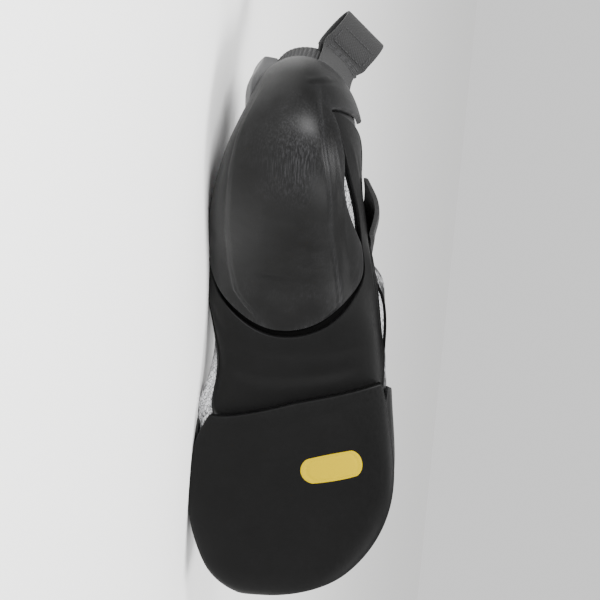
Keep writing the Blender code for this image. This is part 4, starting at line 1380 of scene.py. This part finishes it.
@dataclass
class FrontOutsole:
    """The half outsole with its flat-cut edge, its rounded rear corners and a plain yellow inlay."""

    last: Last
    rest: float = RUBBER_REST + RAND + FIT_GAP
    thickness: float = 4.0 * MM
    edge_radius: float = 0.9 * MM
    edge_wall: float = 0.72
    turn_limit: float = math.radians(58.0)
    flare: float = math.radians(24.0)
    rear_middle: float = 8.45
    rear_sweep: float = 0.47
    tread_station: float = 6.0
    tread_first: float = 3.5
    corners: Table = (
        # station, inner around, outer around
        (5.6, 1.00, 1.00), (6.4, 0.66, 0.80), (7.2, 0.56, 0.75), (7.7, 0.48, 0.70), (8.2, 0.41, 0.65),
        (8.7, 0.38, 0.59), (9.1, 0.36, 0.52),
    )
    inlay_place: tuple[float, float] = (6.98, -0.195)
    inlay_length: float = 27.0 * MM
    inlay_width: float = 11.5 * MM
    inlay_turn: float = math.radians(14.0)
    inlay_sink: float = 0.35 * MM
    inlay_profile: Table = (
        # share of the way to the rim, rise in mm
        (0.0, 0.26), (0.25, 0.26), (0.5, 0.26), (0.70, 0.26), (0.76, 0.25), (0.80, 0.10), (0.84, 0.10),
        (0.88, 0.25), (0.95, 0.26), (0.985, 0.20), (1.0, -0.15),
    )
    creases: tuple[Crease, ...] = (
        Crease(((7.75, 0.36), (7.85, 0.1), (8.15, -0.1), (8.45, -0.3)), 3.5 * MM, -0.35 * MM),
        Crease(((7.2, 0.34), (7.3, 0.05), (7.7, -0.2)), 4.0 * MM, 0.30 * MM),
        Crease(((8.4, -0.50), (7.6, -0.56), (6.6, -0.56), (5.4, -0.52)), 1.4 * MM, -0.25 * MM),
        Crease(((5.2, 0.2), (5.0, 0.0), (5.1, -0.2)), 6.0 * MM, -0.25 * MM),
    )

    def side_edge(self, station: Array, side: Side) -> Array:
        """Gives the around value on one side where the form has turned away from the tread.

        Args:
            station: Stations along the shoe.
            side: Which side of the foot.

        Returns:
            The edge's place around, one for each station.
        """
        tread = self.last.normal(self.tread_station, 0.0)
        around = np.linspace(0.0, 1.2, 241)
        edges = []
        for place in station:
            facing = self.last.normal(place, side.value * around) @ tread
            passed = np.nonzero(facing < math.cos(self.turn_limit))[0]
            last = max(int(passed[0]), 1)
            share = (facing[last - 1] - math.cos(self.turn_limit)) / (facing[last - 1] - facing[last])
            edges.append(max(around[last - 1] + share * (around[last] - around[last - 1]), 0.0))
        corner = column_of(self.corners, station, 1 if side is Side.INNER else 2)
        return side.value * np.minimum(edges, corner)

    def directions(self, station: Array, around: Array) -> Array:
        """Gives directions through the thickness: normals held within the flare of the tread.

        Args:
            station: Stations along the shoe.
            around: Places around its sections.

        Returns:
            Unit directions, one for each place.
        """
        normals = self.last.normal(station, around)
        tread = self.last.normal(np.maximum(station, self.tread_first), 0.0 * around)
        facing = np.sum(normals * tread, axis=-1, keepdims=True)
        sideways = normals - facing * tread
        sideways /= np.maximum(np.linalg.norm(sideways, axis=-1, keepdims=True), 1e-9)
        held = math.cos(self.flare) * tread + math.sin(self.flare) * sideways
        return np.where(facing < math.cos(self.flare), held, normals)

    def places(self) -> tuple[Array, Array]:
        """Gives station and around of the outsole's grid, from the toe tip to the rear edge.

        Returns:
            Stations and places around.
        """
        tread = self.last.normal(self.tread_station, 0.0)
        stations = np.linspace(self.tread_first, 0.2, 400)
        facing = self.last.normal(stations, 0.0) @ tread
        front = stations[np.nonzero(facing < math.cos(self.turn_limit))[0][0]]
        share = (crowded(110) ** 1.3)[:, None]
        across = (2.0 * crowded(110) - 1.0)[None, :]
        rear = self.rear_middle - self.rear_sweep * np.sin(0.5 * math.pi * across)
        station = front + (rear - front) * share
        known = np.linspace(front, float(rear.max()), 60)
        outer = np.interp(station[:, 0], known, self.side_edge(known, Side.OUTER))[:, None]
        inner = np.interp(station[:, -1], known, self.side_edge(known, Side.INNER))[:, None]
        return station, np.where(across < 0.0, -across * outer, across * inner)

    def build(self, finishes: Finishes) -> None:
        """Builds and dresses the outsole and its inlay.

        Args:
            finishes: The shoe's finishes.
        """
        station, around = self.places()
        layer = Layer(
            self.last, self.rest, self.thickness, self.edge_radius, self.edge_wall, self.creases, Ends.LAST)
        skin = layer.skin(station, around, 0.0, False, True, self.directions(station, around))
        present(skin.make("half_outsole", finishes.sole), "outsole_rubber", "front_outsole")
        self.build_inlay(finishes)

    def build_inlay(self, finishes: Finishes) -> None:
        """Builds the plain inlay: a bar with round ends, with a fine groove inside its rim.

        Args:
            finishes: The shoe's finishes.
        """
        station, around = self.inlay_place
        centre = self.last.at(station, around, self.rest + self.thickness)
        lengthwise = self.last.at(station + 0.1, around) - self.last.at(station - 0.1, around)
        crosswise = self.last.at(station, around - 0.05) - self.last.at(station, around + 0.05)
        per_station = np.linalg.norm(lengthwise) / 0.2
        per_around = np.linalg.norm(crosswise) / 0.1
        turn = np.linspace(0.0, 2.0 * math.pi, 97)[:-1]
        long_half = 0.5 * self.inlay_length
        wide_half = 0.5 * self.inlay_width
        straight = long_half - wide_half
        along = wide_half * np.cos(turn) + straight * np.sign(np.cos(turn)) * np.minimum(
            1.0, 3.0 * np.abs(np.cos(turn)))
        across = wide_half * np.sin(turn)
        cosine, sine = math.cos(self.inlay_turn), math.sin(self.inlay_turn)
        turned_along = along * cosine - across * sine
        turned_across = along * sine + across * cosine
        reach, rise = np.array(self.inlay_profile).T[:, :, None]
        face = self.rest + self.thickness
        place_around = around - reach * turned_along / per_around
        place_station = station + reach * turned_across / per_station
        top = self.last.at(place_station, place_around, face + MM * rise)
        under = self.last.at(place_station, place_around, face - self.inlay_sink)
        flat = np.stack((reach * turned_along, reach * turned_across), axis=-1)
        skin = shell(top, under, flat, np.zeros(top.shape[:2]), None, True, True)
        present(skin.make("sole_inlay", finishes.inlay), "outsole_rubber")
        LOG.info("inlay centre %s", np.round(centre, 4))


@dataclass
class SlingRand:
    """The tensioned band across the arch and up both sides of the heel."""

    last: Last
    rest: float = RUBBER_REST
    thickness: float = RAND
    edge_radius: float = 0.6 * MM
    skive: float = 0.6
    # A thin strip of painted shade lies under the seam between the band and the heel cup.
    shade_strip_half: float = 2.2 * MM
    shade_strip_rest: float = 0.05 * MM
    shade_strip_thickness: float = 0.4 * MM
    table: Table = (
        # seam_station, seam_around, far_station, far_around
        (16.90, -0.42, 17.70, -1.00), (16.50, -0.48, 17.10, -1.15), (15.80, -0.57, 16.20, -1.25),
        (15.00, -0.67, 15.20, -1.28), (14.20, -0.74, 14.20, -1.22), (13.40, -0.76, 13.20, -1.06),
        (12.60, -0.71, 12.20, -0.86), (11.80, -0.60, 11.20, -0.72), (11.20, -0.44, 10.10, -0.69),
        (10.65, -0.27, 9.10, -0.72), (10.25, -0.12, 8.35, -0.48), (10.03, 0.03, 8.00, -0.12),
        (10.10, 0.18, 7.85, 0.18), (10.40, 0.33, 7.95, 0.42), (10.85, 0.50, 8.80, 0.62),
        (11.50, 0.67, 9.80, 0.82), (12.20, 0.80, 11.00, 0.86), (13.00, 0.86, 12.40, 0.92),
        (14.00, 0.90, 13.60, 1.02), (15.00, 0.92, 14.80, 1.10), (16.00, 0.90, 15.90, 1.14),
    )
    creases: tuple[Crease, ...] = (
        Crease(((9.75, 0.55), (9.45, 0.20), (9.45, -0.10), (9.75, -0.45)), 2.4 * MM, 0.40 * MM),
        Crease(((9.25, 0.50), (9.0, 0.20), (9.1, -0.08), (9.4, -0.40)), 2.2 * MM, -0.40 * MM),
        Crease(((9.0, 0.46), (8.7, 0.22), (8.8, -0.02), (9.15, -0.35)), 2.0 * MM, 0.30 * MM),
        Crease(((10.6, 0.72), (10.2, 0.60), (9.9, 0.52)), 2.0 * MM, -0.30 * MM),
        Crease(((16.4, -0.62), (15.6, -0.78), (14.8, -0.86), (14.0, -0.88)), 1.6 * MM, 0.30 * MM),
        Crease(((16.2, -0.75), (15.2, -0.92), (14.4, -0.98)), 1.6 * MM, -0.30 * MM),
    )

    def rows(self, count: int) -> Array:
        """Gives count rows of seam and far edge, from the outer heel under the arch to the inner heel."""
        return curve_of(self.table, count)

    def build(self, finishes: Finishes) -> None:
        """Builds and dresses the band.

        Args:
            finishes: The shoe's finishes.
        """
        seam_station, seam_around, far_station, far_around = self.rows(401).T[:, :, None]
        share = crowded(44)[None, :]
        station = seam_station + (far_station - seam_station) * share
        around = seam_around + (far_around - seam_around) * share
        thin = -self.thickness * self.skive * smooth_step(2.0 * share - 1.0) + 0.0 * station
        layer = Layer(self.last, self.rest, self.thickness, self.edge_radius, creases=self.creases)
        skin = layer.skin(station, around, thin)
        present(skin.make("sling_band", finishes.sling), "sling_rubber", "sling_rand")
        self.build_shade_strip(finishes)

    def build_shade_strip(self, finishes: Finishes) -> None:
        """Builds the thin strip under the seam between the band and the heel cup: near-black painted shade,
        so that the seam reads as a gap.

        Args:
            finishes: The shoe's finishes.
        """
        rows = self.rows(301)[20:270]
        seam = self.last.at(rows[:, 0], rows[:, 1])
        far = self.last.at(rows[:, 2], rows[:, 3])
        width = np.linalg.norm(far - seam, axis=1)
        share = (self.shade_strip_half / width)[:, None] * np.linspace(-1.0, 1.0, 9)[None, :]
        station = rows[:, :1] + (rows[:, 2:3] - rows[:, :1]) * share
        around = rows[:, 1:2] + (rows[:, 3:4] - rows[:, 1:2]) * share
        layer = Layer(self.last, self.shade_strip_rest, self.shade_strip_thickness, self.shade_strip_thickness)
        skin = layer.skin(station, around)
        present(skin.make("seam_backing", finishes.seam), "sling_rubber")


@dataclass
class HeelCup:
    """The moulded heel cup with its raised strip, two beads, its wing and the slit above it."""

    last: Last
    sling: SlingRand
    rest: float = RUBBER_REST
    thickness: float = 2.2 * MM
    edge_radius: float = 0.9 * MM
    strip_rise: float = 1.0 * MM
    strip_slope: float = 0.04
    strip_front: float = 10.1
    strip_rear: float = 16.6
    strip_fade: float = 1.4
    bead_width: float = 0.016
    bead_rises: tuple[float, float] = (0.50 * MM, 0.75 * MM)
    seam_gap: float = 1.1 * MM
    top: float = 19.55
    top_fall: float = 0.75
    tip: float = 0.01
    # First station, last station and how far the cup's edge draws back from the sling there.
    window: tuple[float, float, float] = (12.6, 15.9, 0.15)
    # Painted highlights, on a patch of the back and in a band down the inner side: station, around, reach in
    # stations and reach in around.
    highlight_patch: tuple[float, float, float, float] = (15.3, -0.12, 1.2, 0.2)
    side_highlight: tuple[float, float, float, float] = (14.0, 0.5, 2.4, 0.1)
    sides: Table = (
        # station, outer around, inner around
        (17.00, -0.46, 0.70), (17.30, -0.58, 0.65), (17.65, -0.69, 0.60), (18.20, -0.79, 0.55),
        (18.80, -0.88, 0.50), (19.40, -0.94, 0.45),
    )
    strip: Table = (
        # station, outer ridge, inner ridge
        (10.3, -0.22, 0.16), (10.7, -0.27, 0.23), (11.2, -0.30, 0.34), (12.0, -0.34, 0.42),
        (12.8, -0.38, 0.44), (14.0, -0.39, 0.45), (15.0, -0.38, 0.48), (16.1, -0.30, 0.48),
        (17.2, -0.26, 0.44), (18.0, -0.24, 0.40),
    )
    creases: tuple[Crease, ...] = (
        Crease(((17.45, -0.10), (17.70, -0.24), (18.05, -0.38), (18.5, -0.50)), 0.6 * MM, -0.7 * MM),
        Crease(((17.6, -0.10), (17.9, -0.24), (18.3, -0.36)), 1.4 * MM, 0.35 * MM),
        Crease(((16.4, -0.40), (15.7, -0.46), (14.8, -0.52), (13.8, -0.53), (12.6, -0.50), (11.4, -0.39)),
               0.9 * MM, 0.40 * MM),
        Crease(((16.4, -0.34), (15.7, -0.41), (14.8, -0.45), (13.8, -0.46), (12.6, -0.44), (11.4, -0.34)),
               0.8 * MM, -0.30 * MM),
        Crease(((15.6, 0.62), (14.6, 0.66), (13.6, 0.66), (12.6, 0.62)), 2.6 * MM, -0.45 * MM),
        Crease(((11.8, 0.05), (11.2, 0.08), (10.6, 0.08)), 6.0 * MM, -0.50 * MM),
    )

    def drop(self) -> float:
        """Gives how far the cup's round front stays behind the seam, in stations."""
        return 2.0 * self.seam_gap * self.last.collar / self.last.length

    def edges(self, station: Array) -> tuple[Array, Array]:
        """Gives the outer and inner around of the cup's edges, rounded at the front like the seam.

        Args:
            station: Stations along the shoe.

        Returns:
            The outer and the inner edge, one value for each station.
        """
        seam = self.sling.rows(401)
        lowest = int(np.argmin(seam[:, 0]))
        outer_rows = [(row[0], row[1]) for row in seam[lowest::-1]] + [(row[0], row[1]) for row in self.sides]
        inner_rows = [(row[0], row[1]) for row in seam[lowest:]] + [(row[0], row[2]) for row in self.sides]
        behind = station - float(seam[:, 0].min()) - self.drop()
        shifted = station - self.drop() * (1.0 - smooth_step(behind / 2.0))
        gap = self.seam_gap / self.last.heel_width * smooth_step(behind / 0.6)
        start, end, depth = self.window
        opened = depth * np.sin(math.pi * np.clip((station - start) / (end - start), 0.0, 1.0)) ** 2
        return column_of(outer_rows, shifted) + gap + opened, column_of(inner_rows, shifted) - gap

    def build(self, finishes: Finishes) -> None:
        """Builds and dresses the cup.

        Args:
            finishes: The shoe's finishes.
        """
        front = float(self.sling.rows(401)[:, 0].min()) + self.drop() + self.tip
        share = crowded(190)[:, None]
        across = (2.0 * crowded(120) - 1.0)[None, :]
        top = self.top - self.top_fall * across ** 2
        station = front + (top - front) * share ** 1.15
        outer, inner = self.edges(station)
        middle = 0.5 * (outer + inner) * (1.0 - smooth_step((station - front) / 1.5))
        around = middle + np.where(across < 0.0, across * (middle - outer), across * (inner - middle))
        left = column_of(self.strip, station, 2)
        right = column_of(self.strip, station, 1)
        within = smooth_step((left - around) / self.strip_slope)
        inside = within * smooth_step((around - right) / self.strip_slope)
        past = smooth_step((station - self.strip_rear) / self.strip_fade)
        fade = smooth_step(station - self.strip_front) * (1.0 - past)
        bead_left = np.exp(-((around - left) / self.bead_width) ** 2)
        bead_right = np.exp(-((around - right) / self.bead_width) ** 2)
        outer_rise, inner_rise = self.bead_rises
        raised = fade * (self.strip_rise * inside + inner_rise * bead_left + outer_rise * bead_right)
        layer = Layer(
            self.last, self.rest, self.thickness, self.edge_radius, creases=self.creases, ends=Ends.LAST)
        skin = layer.skin(station, around, raised, False, True)
        # Painted highlights: the two beads, a patch on the back and a band down the inner side are lightened
        # through the wear attribute.
        row, place, long_reach, side_reach = self.highlight_patch
        patch_highlight_mask = np.exp(-(((station - row) / long_reach) ** 2 + ((around - place) / side_reach) ** 2))
        row, place, long_reach, side_reach = self.side_highlight
        side_highlight_mask = np.exp(-((station - row) / long_reach) ** 2) * smooth_step((around - place) / side_reach)
        count = station.size
        painted_highlights = 0.9 * fade * np.maximum(bead_left, 0.7 * bead_right) + 1.1 * patch_highlight_mask + 1.2 * side_highlight_mask
        skin.wear[:count] = np.clip(skin.wear[:count] + painted_highlights.ravel(), 0.0, 1.6)
        present(skin.make("heel_cup_moulded", finishes.cup), "moulded_heel_rubber", "heel_cup")


@dataclass
class ClosureStrap:
    """The closure strap over the instep, its end arched open at the outer ankle."""

    last: Last
    width: float = 24.0 * MM
    end_width: float = 34.0 * MM
    thickness: float = 1.8 * MM
    gap: float = 2.0 * FIT_GAP
    rubber: float = RUBBER_REST + RAND
    edge_radius: float = 0.6 * MM
    edge_wall: float = 0.45
    loop_rise: float = 3.6 * MM
    loop_skew: float = 1.4
    start: float = 1.40
    end: float = 3.04
    loop_start: float = 2.58
    ramp_start: float = 2.30
    ramp: float = 0.2
    seam: Seam = Seam(2.0 * MM, 0.9 * MM, 0.2 * MM)
    seam_rise: float = 0.1 * MM
    seam_shares: tuple[float, float] = (0.09, 0.91)
    front: Table = (
        # around, station of the strap's front edge
        (1.40, 10.3), (1.70, 9.9), (2.00, 9.8), (2.40, 11.3), (2.90, 13.2), (3.04, 13.4),
    )

    def opened(self, run: Array) -> Array:
        """Gives how far the strap has opened towards its end, from 0 to 1."""
        return smooth_step((run - self.loop_start) / (self.end - self.loop_start))

    def place(self, run: Array, shares: Array) -> tuple[Array, Array]:
        """Gives station and around at shares of the strap's width, a row for each place along it.

        Args:
            run: Places around, along the strap.
            shares: Shares of the strap's width, 0 at its front edge.

        Returns:
            Stations and places around.
        """
        rows = []
        for around, station, opened in zip(run, column_of(self.front, run), self.opened(run)):
            places = np.linspace(station, self.last.collar, 160)
            points = self.last.at(places, around)
            width = self.width + (self.end_width - self.width) * opened
            rows.append(np.interp(width * shares, way_of(points), places))
        return np.array(rows), run[:, None] + 0.0 * np.array(rows)

    def height(self, around: Array, shares: Array) -> Array:
        """Gives the height of the strap's under face.

        Args:
            around: Places around its sections.
            shares: Shares of the strap's width, 0 at its front edge.

        Returns:
            Heights over the upper.
        """
        over = self.rubber * smooth_step((around - self.ramp_start) / self.ramp)
        arch = np.sin(math.pi * shares ** self.loop_skew)
        return self.gap + over + self.loop_rise * self.opened(around) * arch

    def build(self, finishes: Finishes) -> None:
        """Builds and dresses the strap and its stitching.

        Args:
            finishes: The shoe's finishes.
        """
        run = self.start + (self.end - self.start) * crowded(200)
        shares = crowded(60)
        station, around = self.place(run, shares)
        under = self.last.at(station, around, self.height(around, shares))
        along = lengths_along(under, 0)
        across = lengths_along(under, 1)
        edge = np.minimum(np.minimum(along, along[-1:] - along), np.minimum(across, across[:, -1:] - across))
        full = self.edge_wall + (1.0 - self.edge_wall) * rounded(edge / self.edge_radius)
        top = self.last.at(station, around, self.height(around, shares) + self.thickness * full)
        flat = np.stack((along, across), axis=-1)
        skin = shell(top, under, flat, np.exp(-edge / MM))
        present(skin.make("strap_band", finishes.strap), "strap_webbing", "closure_strap")
        run = np.linspace(self.start + 0.05, self.loop_start, 260)
        for row, share in enumerate(self.seam_shares):
            inset = np.array((share,))
            station, around = self.place(run, inset)
            height = self.height(around, inset) + self.thickness + self.seam_rise
            line = self.last.at(station, around, height)[:, 0]
            present(self.seam.sew(line).make(f"strap_stitches_{row}", finishes.thread), "strap_webbing")


@dataclass
class PullLoop:
    """The webbing pull loop that straddles the collar at the outer side of the heel."""

    last: Last
    side: tuple[float, float] = (-0.63, -0.20)
    lean: tuple[float, float, float] = (-0.15, -0.31, 0.94)
    height: float = 32.0 * MM
    depth: float = 12.0 * MM
    width: float = 22.5 * MM
    thickness: float = 1.6 * MM
    foot: float = 19.5
    reach: float = 21.0
    gap: float = FIT_GAP
    wall: float = WALL
    cuff: float = CUFF
    clearance: float = 1.3 * MM
    turn: float = math.radians(68.0)
    bend: float = 0.38
    edge_radius: float = 0.7 * MM
    seam_rise: float = 0.05 * MM
    # Real webbing has ribs about 0.7 mm apart; they are drawn coarser so that they show.
    weave_pitch: float = 1.3 * MM
    weave_rise: float = 0.08 * MM
    weave_slant: float = 0.6
    bar_places: tuple[float, ...] = (24.0 * MM, 25.8 * MM, 27.6 * MM, 29.4 * MM)
    box_places: tuple[float, float] = (33.0 * MM, 41.0 * MM)
    bar_seam: Seam = Seam(3.4 * MM, 0.25 * MM, 0.40 * MM)
    box_seam: Seam = Seam(1.8 * MM, 0.4 * MM, 0.32 * MM)

    def centre_rows(self) -> Array:
        """Gives rows of points across the webbing's middle, from its outer foot over to its inner one.

        Returns:
            The rows, each with five points.
        """
        columns = 5
        around = np.linspace(*self.side, columns)
        half = 0.5 * self.thickness
        outside = self.gap + half
        inside = -self.wall - self.cuff - self.clearance - half
        rise = self.last.direction(self.lean)
        ends = self.last.at(self.reach, np.array(self.side), 0.5 * (outside + inside))
        run = (ends[1] - ends[0]) / np.linalg.norm(ends[1] - ends[0])
        base = ends.mean(axis=0) + (self.width * np.linspace(-0.5, 0.5, columns))[:, None] * run
        spread = self.last.normal(self.last.collar, float(around.mean()))
        spread = spread - (spread @ rise) * rise
        spread /= np.linalg.norm(spread)
        climb_stations = (self.foot, self.last.collar, self.reach)
        rows = [self.last.at(station, around, outside) for station in climb_stations]
        for turn in np.linspace(-self.turn, math.pi + self.turn, 15):
            climb = self.height * (1.0 - self.bend + self.bend * math.sin(turn))
            rows.append(base + climb * rise + 0.5 * self.depth * math.cos(turn) * spread)
        rows += [self.last.at(station, around, inside) for station in climb_stations[::-1]]
        return np.array(rows)

    def build(self, finishes: Finishes) -> None:
        """Builds and dresses the webbing and its stitching.

        Args:
            finishes: The shoe's finishes.
        """
        rows = self.centre_rows()
        places = np.linspace(0.0, len(rows) - 1.0, 901)
        trial = natural_spline(rows.mean(axis=1), places)
        way = way_of(trial)
        even = np.interp(np.linspace(0.0, way[-1], 241), way, places)
        grid = natural_spline(rows.reshape(len(rows), -1), even).reshape(241, rows.shape[1], 3)
        turned = np.swapaxes(grid, 0, 1).reshape(rows.shape[1], -1)
        fine = natural_spline(turned, (rows.shape[1] - 1.0) * crowded(56)).reshape(57, 241, 3)
        middle = np.swapaxes(fine, 0, 1)
        along = lengths_along(middle, 0)
        across = lengths_along(middle, 1)
        normals = np.cross(np.gradient(middle, axis=0), np.gradient(middle, axis=1))
        normals /= np.linalg.norm(normals, axis=2, keepdims=True)
        edge = np.minimum(across, across[:, -1:] - across)
        full = 0.5 + 0.5 * rounded(edge / self.edge_radius)
        slant = along * math.cos(self.weave_slant) + across * math.sin(self.weave_slant)
        ribs = self.weave_rise * np.sin(2.0 * math.pi * slant / self.weave_pitch)
        half = (0.5 * self.thickness * full + ribs - self.weave_rise)[..., None]
        skin = shell(middle + half * normals, middle - half * normals, np.stack((along, across), axis=-1),
                     np.exp(-edge / MM))
        present(skin.make("pull_loop_band", finishes.webbing), "pull_loop_webbing", "pull_loop")
        self.build_stitches(middle, normals, along, finishes)

    def build_stitches(self, middle: Array, normals: Array, along: Array, finishes: Finishes) -> None:
        """Sews four lines across the outer limb and a plain box above them.

        Args:
            middle: The webbing's middle, a grid of points.
            normals: Its normals.
            along: The way along it.
            finishes: The shoe's finishes.
        """
        face = 0.5 * self.thickness + self.seam_rise
        sign = 1.0 if float(normals[60, 28] @ self.last.normal(self.last.collar, -0.4)) > 0.0 else -1.0
        surface = middle + sign * face * normals
        way = along[:, along.shape[1] // 2]
        skins = [self.bar_seam.sew(surface[row, 8:-8]) for row in np.searchsorted(way, self.bar_places)]
        low, high = np.searchsorted(way, self.box_places)
        box = (surface[low, 12:-12], surface[high, 12:-12], surface[low:high, 12], surface[low:high, -13])
        skins += [self.box_seam.sew(line) for line in box]
        present(joined(skins).make("pull_loop_stitches", finishes.thread), "pull_loop_webbing")


@dataclass
class Trim:
    """Thin trim: the piping beside the strap's foot and the piped edge of the inner collar."""

    last: Last
    piping: Table = ((11.6, -0.76), (11.2, -0.80), (10.6, -0.88), (10.0, -0.92), (9.6, -0.84), (9.3, -0.78))
    collar: Table = ((19.9, 0.44), (19.4, 0.47), (18.7, 0.54), (18.0, 0.62), (17.4, 0.70), (17.0, 0.80))

    def build(self, finishes: Finishes) -> None:
        """Builds and dresses the trim.

        Args:
            finishes: The shoe's finishes.
        """
        for name, table, radius, finish in (
            ("waist_piping", self.piping, 0.7 * MM, finishes.seam),
            ("collar_piping", self.collar, 0.5 * MM, finishes.binding),
        ):
            rows = curve_of(table, 80)
            line = self.last.at(rows[:, 0], rows[:, 1], 0.5 * radius)
            present(tube(line, radius, 10).make(name, finish), "printed_synthetic")


@dataclass
class Studio:
    """Pale floor, soft lights and the camera at the photograph's angle to the shoe."""

    last: Last
    turn_deg: float = 30.0
    lift_deg: float = 5.0
    roll_deg: float = 3.5
    distance: float = 1.1
    scale_px_per_mm: float = 2.40
    target: tuple[float, float, float] = (0.118, 0.0, 0.028)
    target_px: tuple[float, float] = (292.0, 337.0)
    sensor_mm: float = 36.0
    floor_half: float = 3.0
    lit_place: tuple[float, float, float] = (0.0, 0.0, 0.04)
    lights: tuple[tuple[str, tuple[float, float, float], float, float], ...] = (
        # name, place, size, watts
        ("heel_softbox", (-0.95, -0.65, 0.55), 0.5, 30.0),
        ("top_softbox", (0.05, -0.35, 1.10), 0.6, 14.0),
        ("toe_softbox", (0.9, -0.8, 0.7), 0.6, 8.0),
    )

    def build(self) -> None:
        """Builds floor, lights, backdrop colour and camera."""
        self.build_floor()
        self.build_lights()
        self.build_camera()

    def build_floor(self) -> None:
        """Lays the floor."""
        half = self.floor_half
        mesh = bpy.data.meshes.new("studio_floor")
        mesh.from_pydata([(-half, -half, 0.0), (half, -half, 0.0), (half, half, 0.0), (-half, half, 0.0)], [],
                         [(0, 1, 2, 3)])
        mesh.materials.append(Paper("studio_paper_matt").make())
        add_object("studio_floor", mesh)

    def build_lights(self) -> None:
        """Sets the pale surroundings and three soft lights."""
        world = bpy.data.worlds.new("studio")
        world.use_nodes = True
        backdrop = world.node_tree.nodes["Background"]
        backdrop.inputs["Color"].default_value = linear("#ffffff")
        backdrop.inputs["Strength"].default_value = 1.0
        bpy.context.scene.world = world
        for name, place, size, power in self.lights:
            light = bpy.data.lights.new(name, "AREA")
            light.shape = "DISK"
            light.size = size
            light.energy = power
            lamp = add_object(name, light)
            lamp.location = place
            lamp.rotation_euler = (Vector(place) - Vector(self.lit_place)).to_track_quat("Z", "Y").to_euler()

    def build_camera(self) -> None:
        """Places the camera as the photograph has it against the shoe."""
        turn = math.radians(self.turn_deg)
        lift = math.radians(self.lift_deg)
        roll = math.radians(self.roll_deg)
        back = math.cos(lift) * np.array((-math.sin(turn), 0.0, -math.cos(turn)))
        back = back - math.sin(lift) * np.array((0.0, 1.0, 0.0))
        up = np.array((-math.cos(turn), 0.0, math.sin(turn)))
        right = np.cross(up, back)
        up = np.cross(back, right)
        right, up = right * math.cos(roll) + up * math.sin(roll), up * math.cos(roll) - right * math.sin(roll)
        focal_px = self.scale_px_per_mm * self.distance / MM
        middle = 0.5 * PHOTO_SIDE_PX
        sideways, upwards = ((middle - place) / focal_px for place in self.target_px)
        aim = -back + right * sideways - up * upwards
        axis = -aim / np.linalg.norm(aim)
        right = np.cross(up, axis)
        right /= np.linalg.norm(right)
        up = np.cross(axis, right)
        stand = np.array(self.target) + self.distance * back
        world_place = self.last.turn @ stand + np.array(self.last.origin)
        columns = [self.last.turn @ vector for vector in (right, up, axis)]
        matrix = Matrix.Identity(4)
        for column, vector in enumerate((*columns, world_place)):
            for row in range(3):
                matrix[row][column] = float(vector[row])
        data = bpy.data.cameras.new("camera")
        data.sensor_width = self.sensor_mm
        data.lens = self.sensor_mm * focal_px / PHOTO_SIDE_PX
        data.clip_start = 0.05
        camera = add_object("camera", data)
        camera.matrix_world = matrix
        bpy.context.scene.camera = camera


def main() -> None:
    """Builds every piece in order."""
    logging.basicConfig(level=logging.INFO, format="%(message)s")
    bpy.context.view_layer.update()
    last = Last()
    Studio(last).build()
    finishes = make_finishes()
    known = set(bpy.data.objects)
    sling = SlingRand(last)
    for sub_assembly in (
        Upper(last), Insole(last), Tongue(last), CollarCuff(last), CollarBand(last), ToeCap(last),
        FrontOutsole(last), sling, HeelCup(last, sling), ClosureStrap(last), PullLoop(last), Trim(last),
    ):
        LOG.info("building %s", type(sub_assembly).__name__)
        sub_assembly.build(finishes)
    Weight().press([made for made in bpy.data.objects if made.type == "MESH" and made not in known])


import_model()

if __name__ == "__main__":
    main()
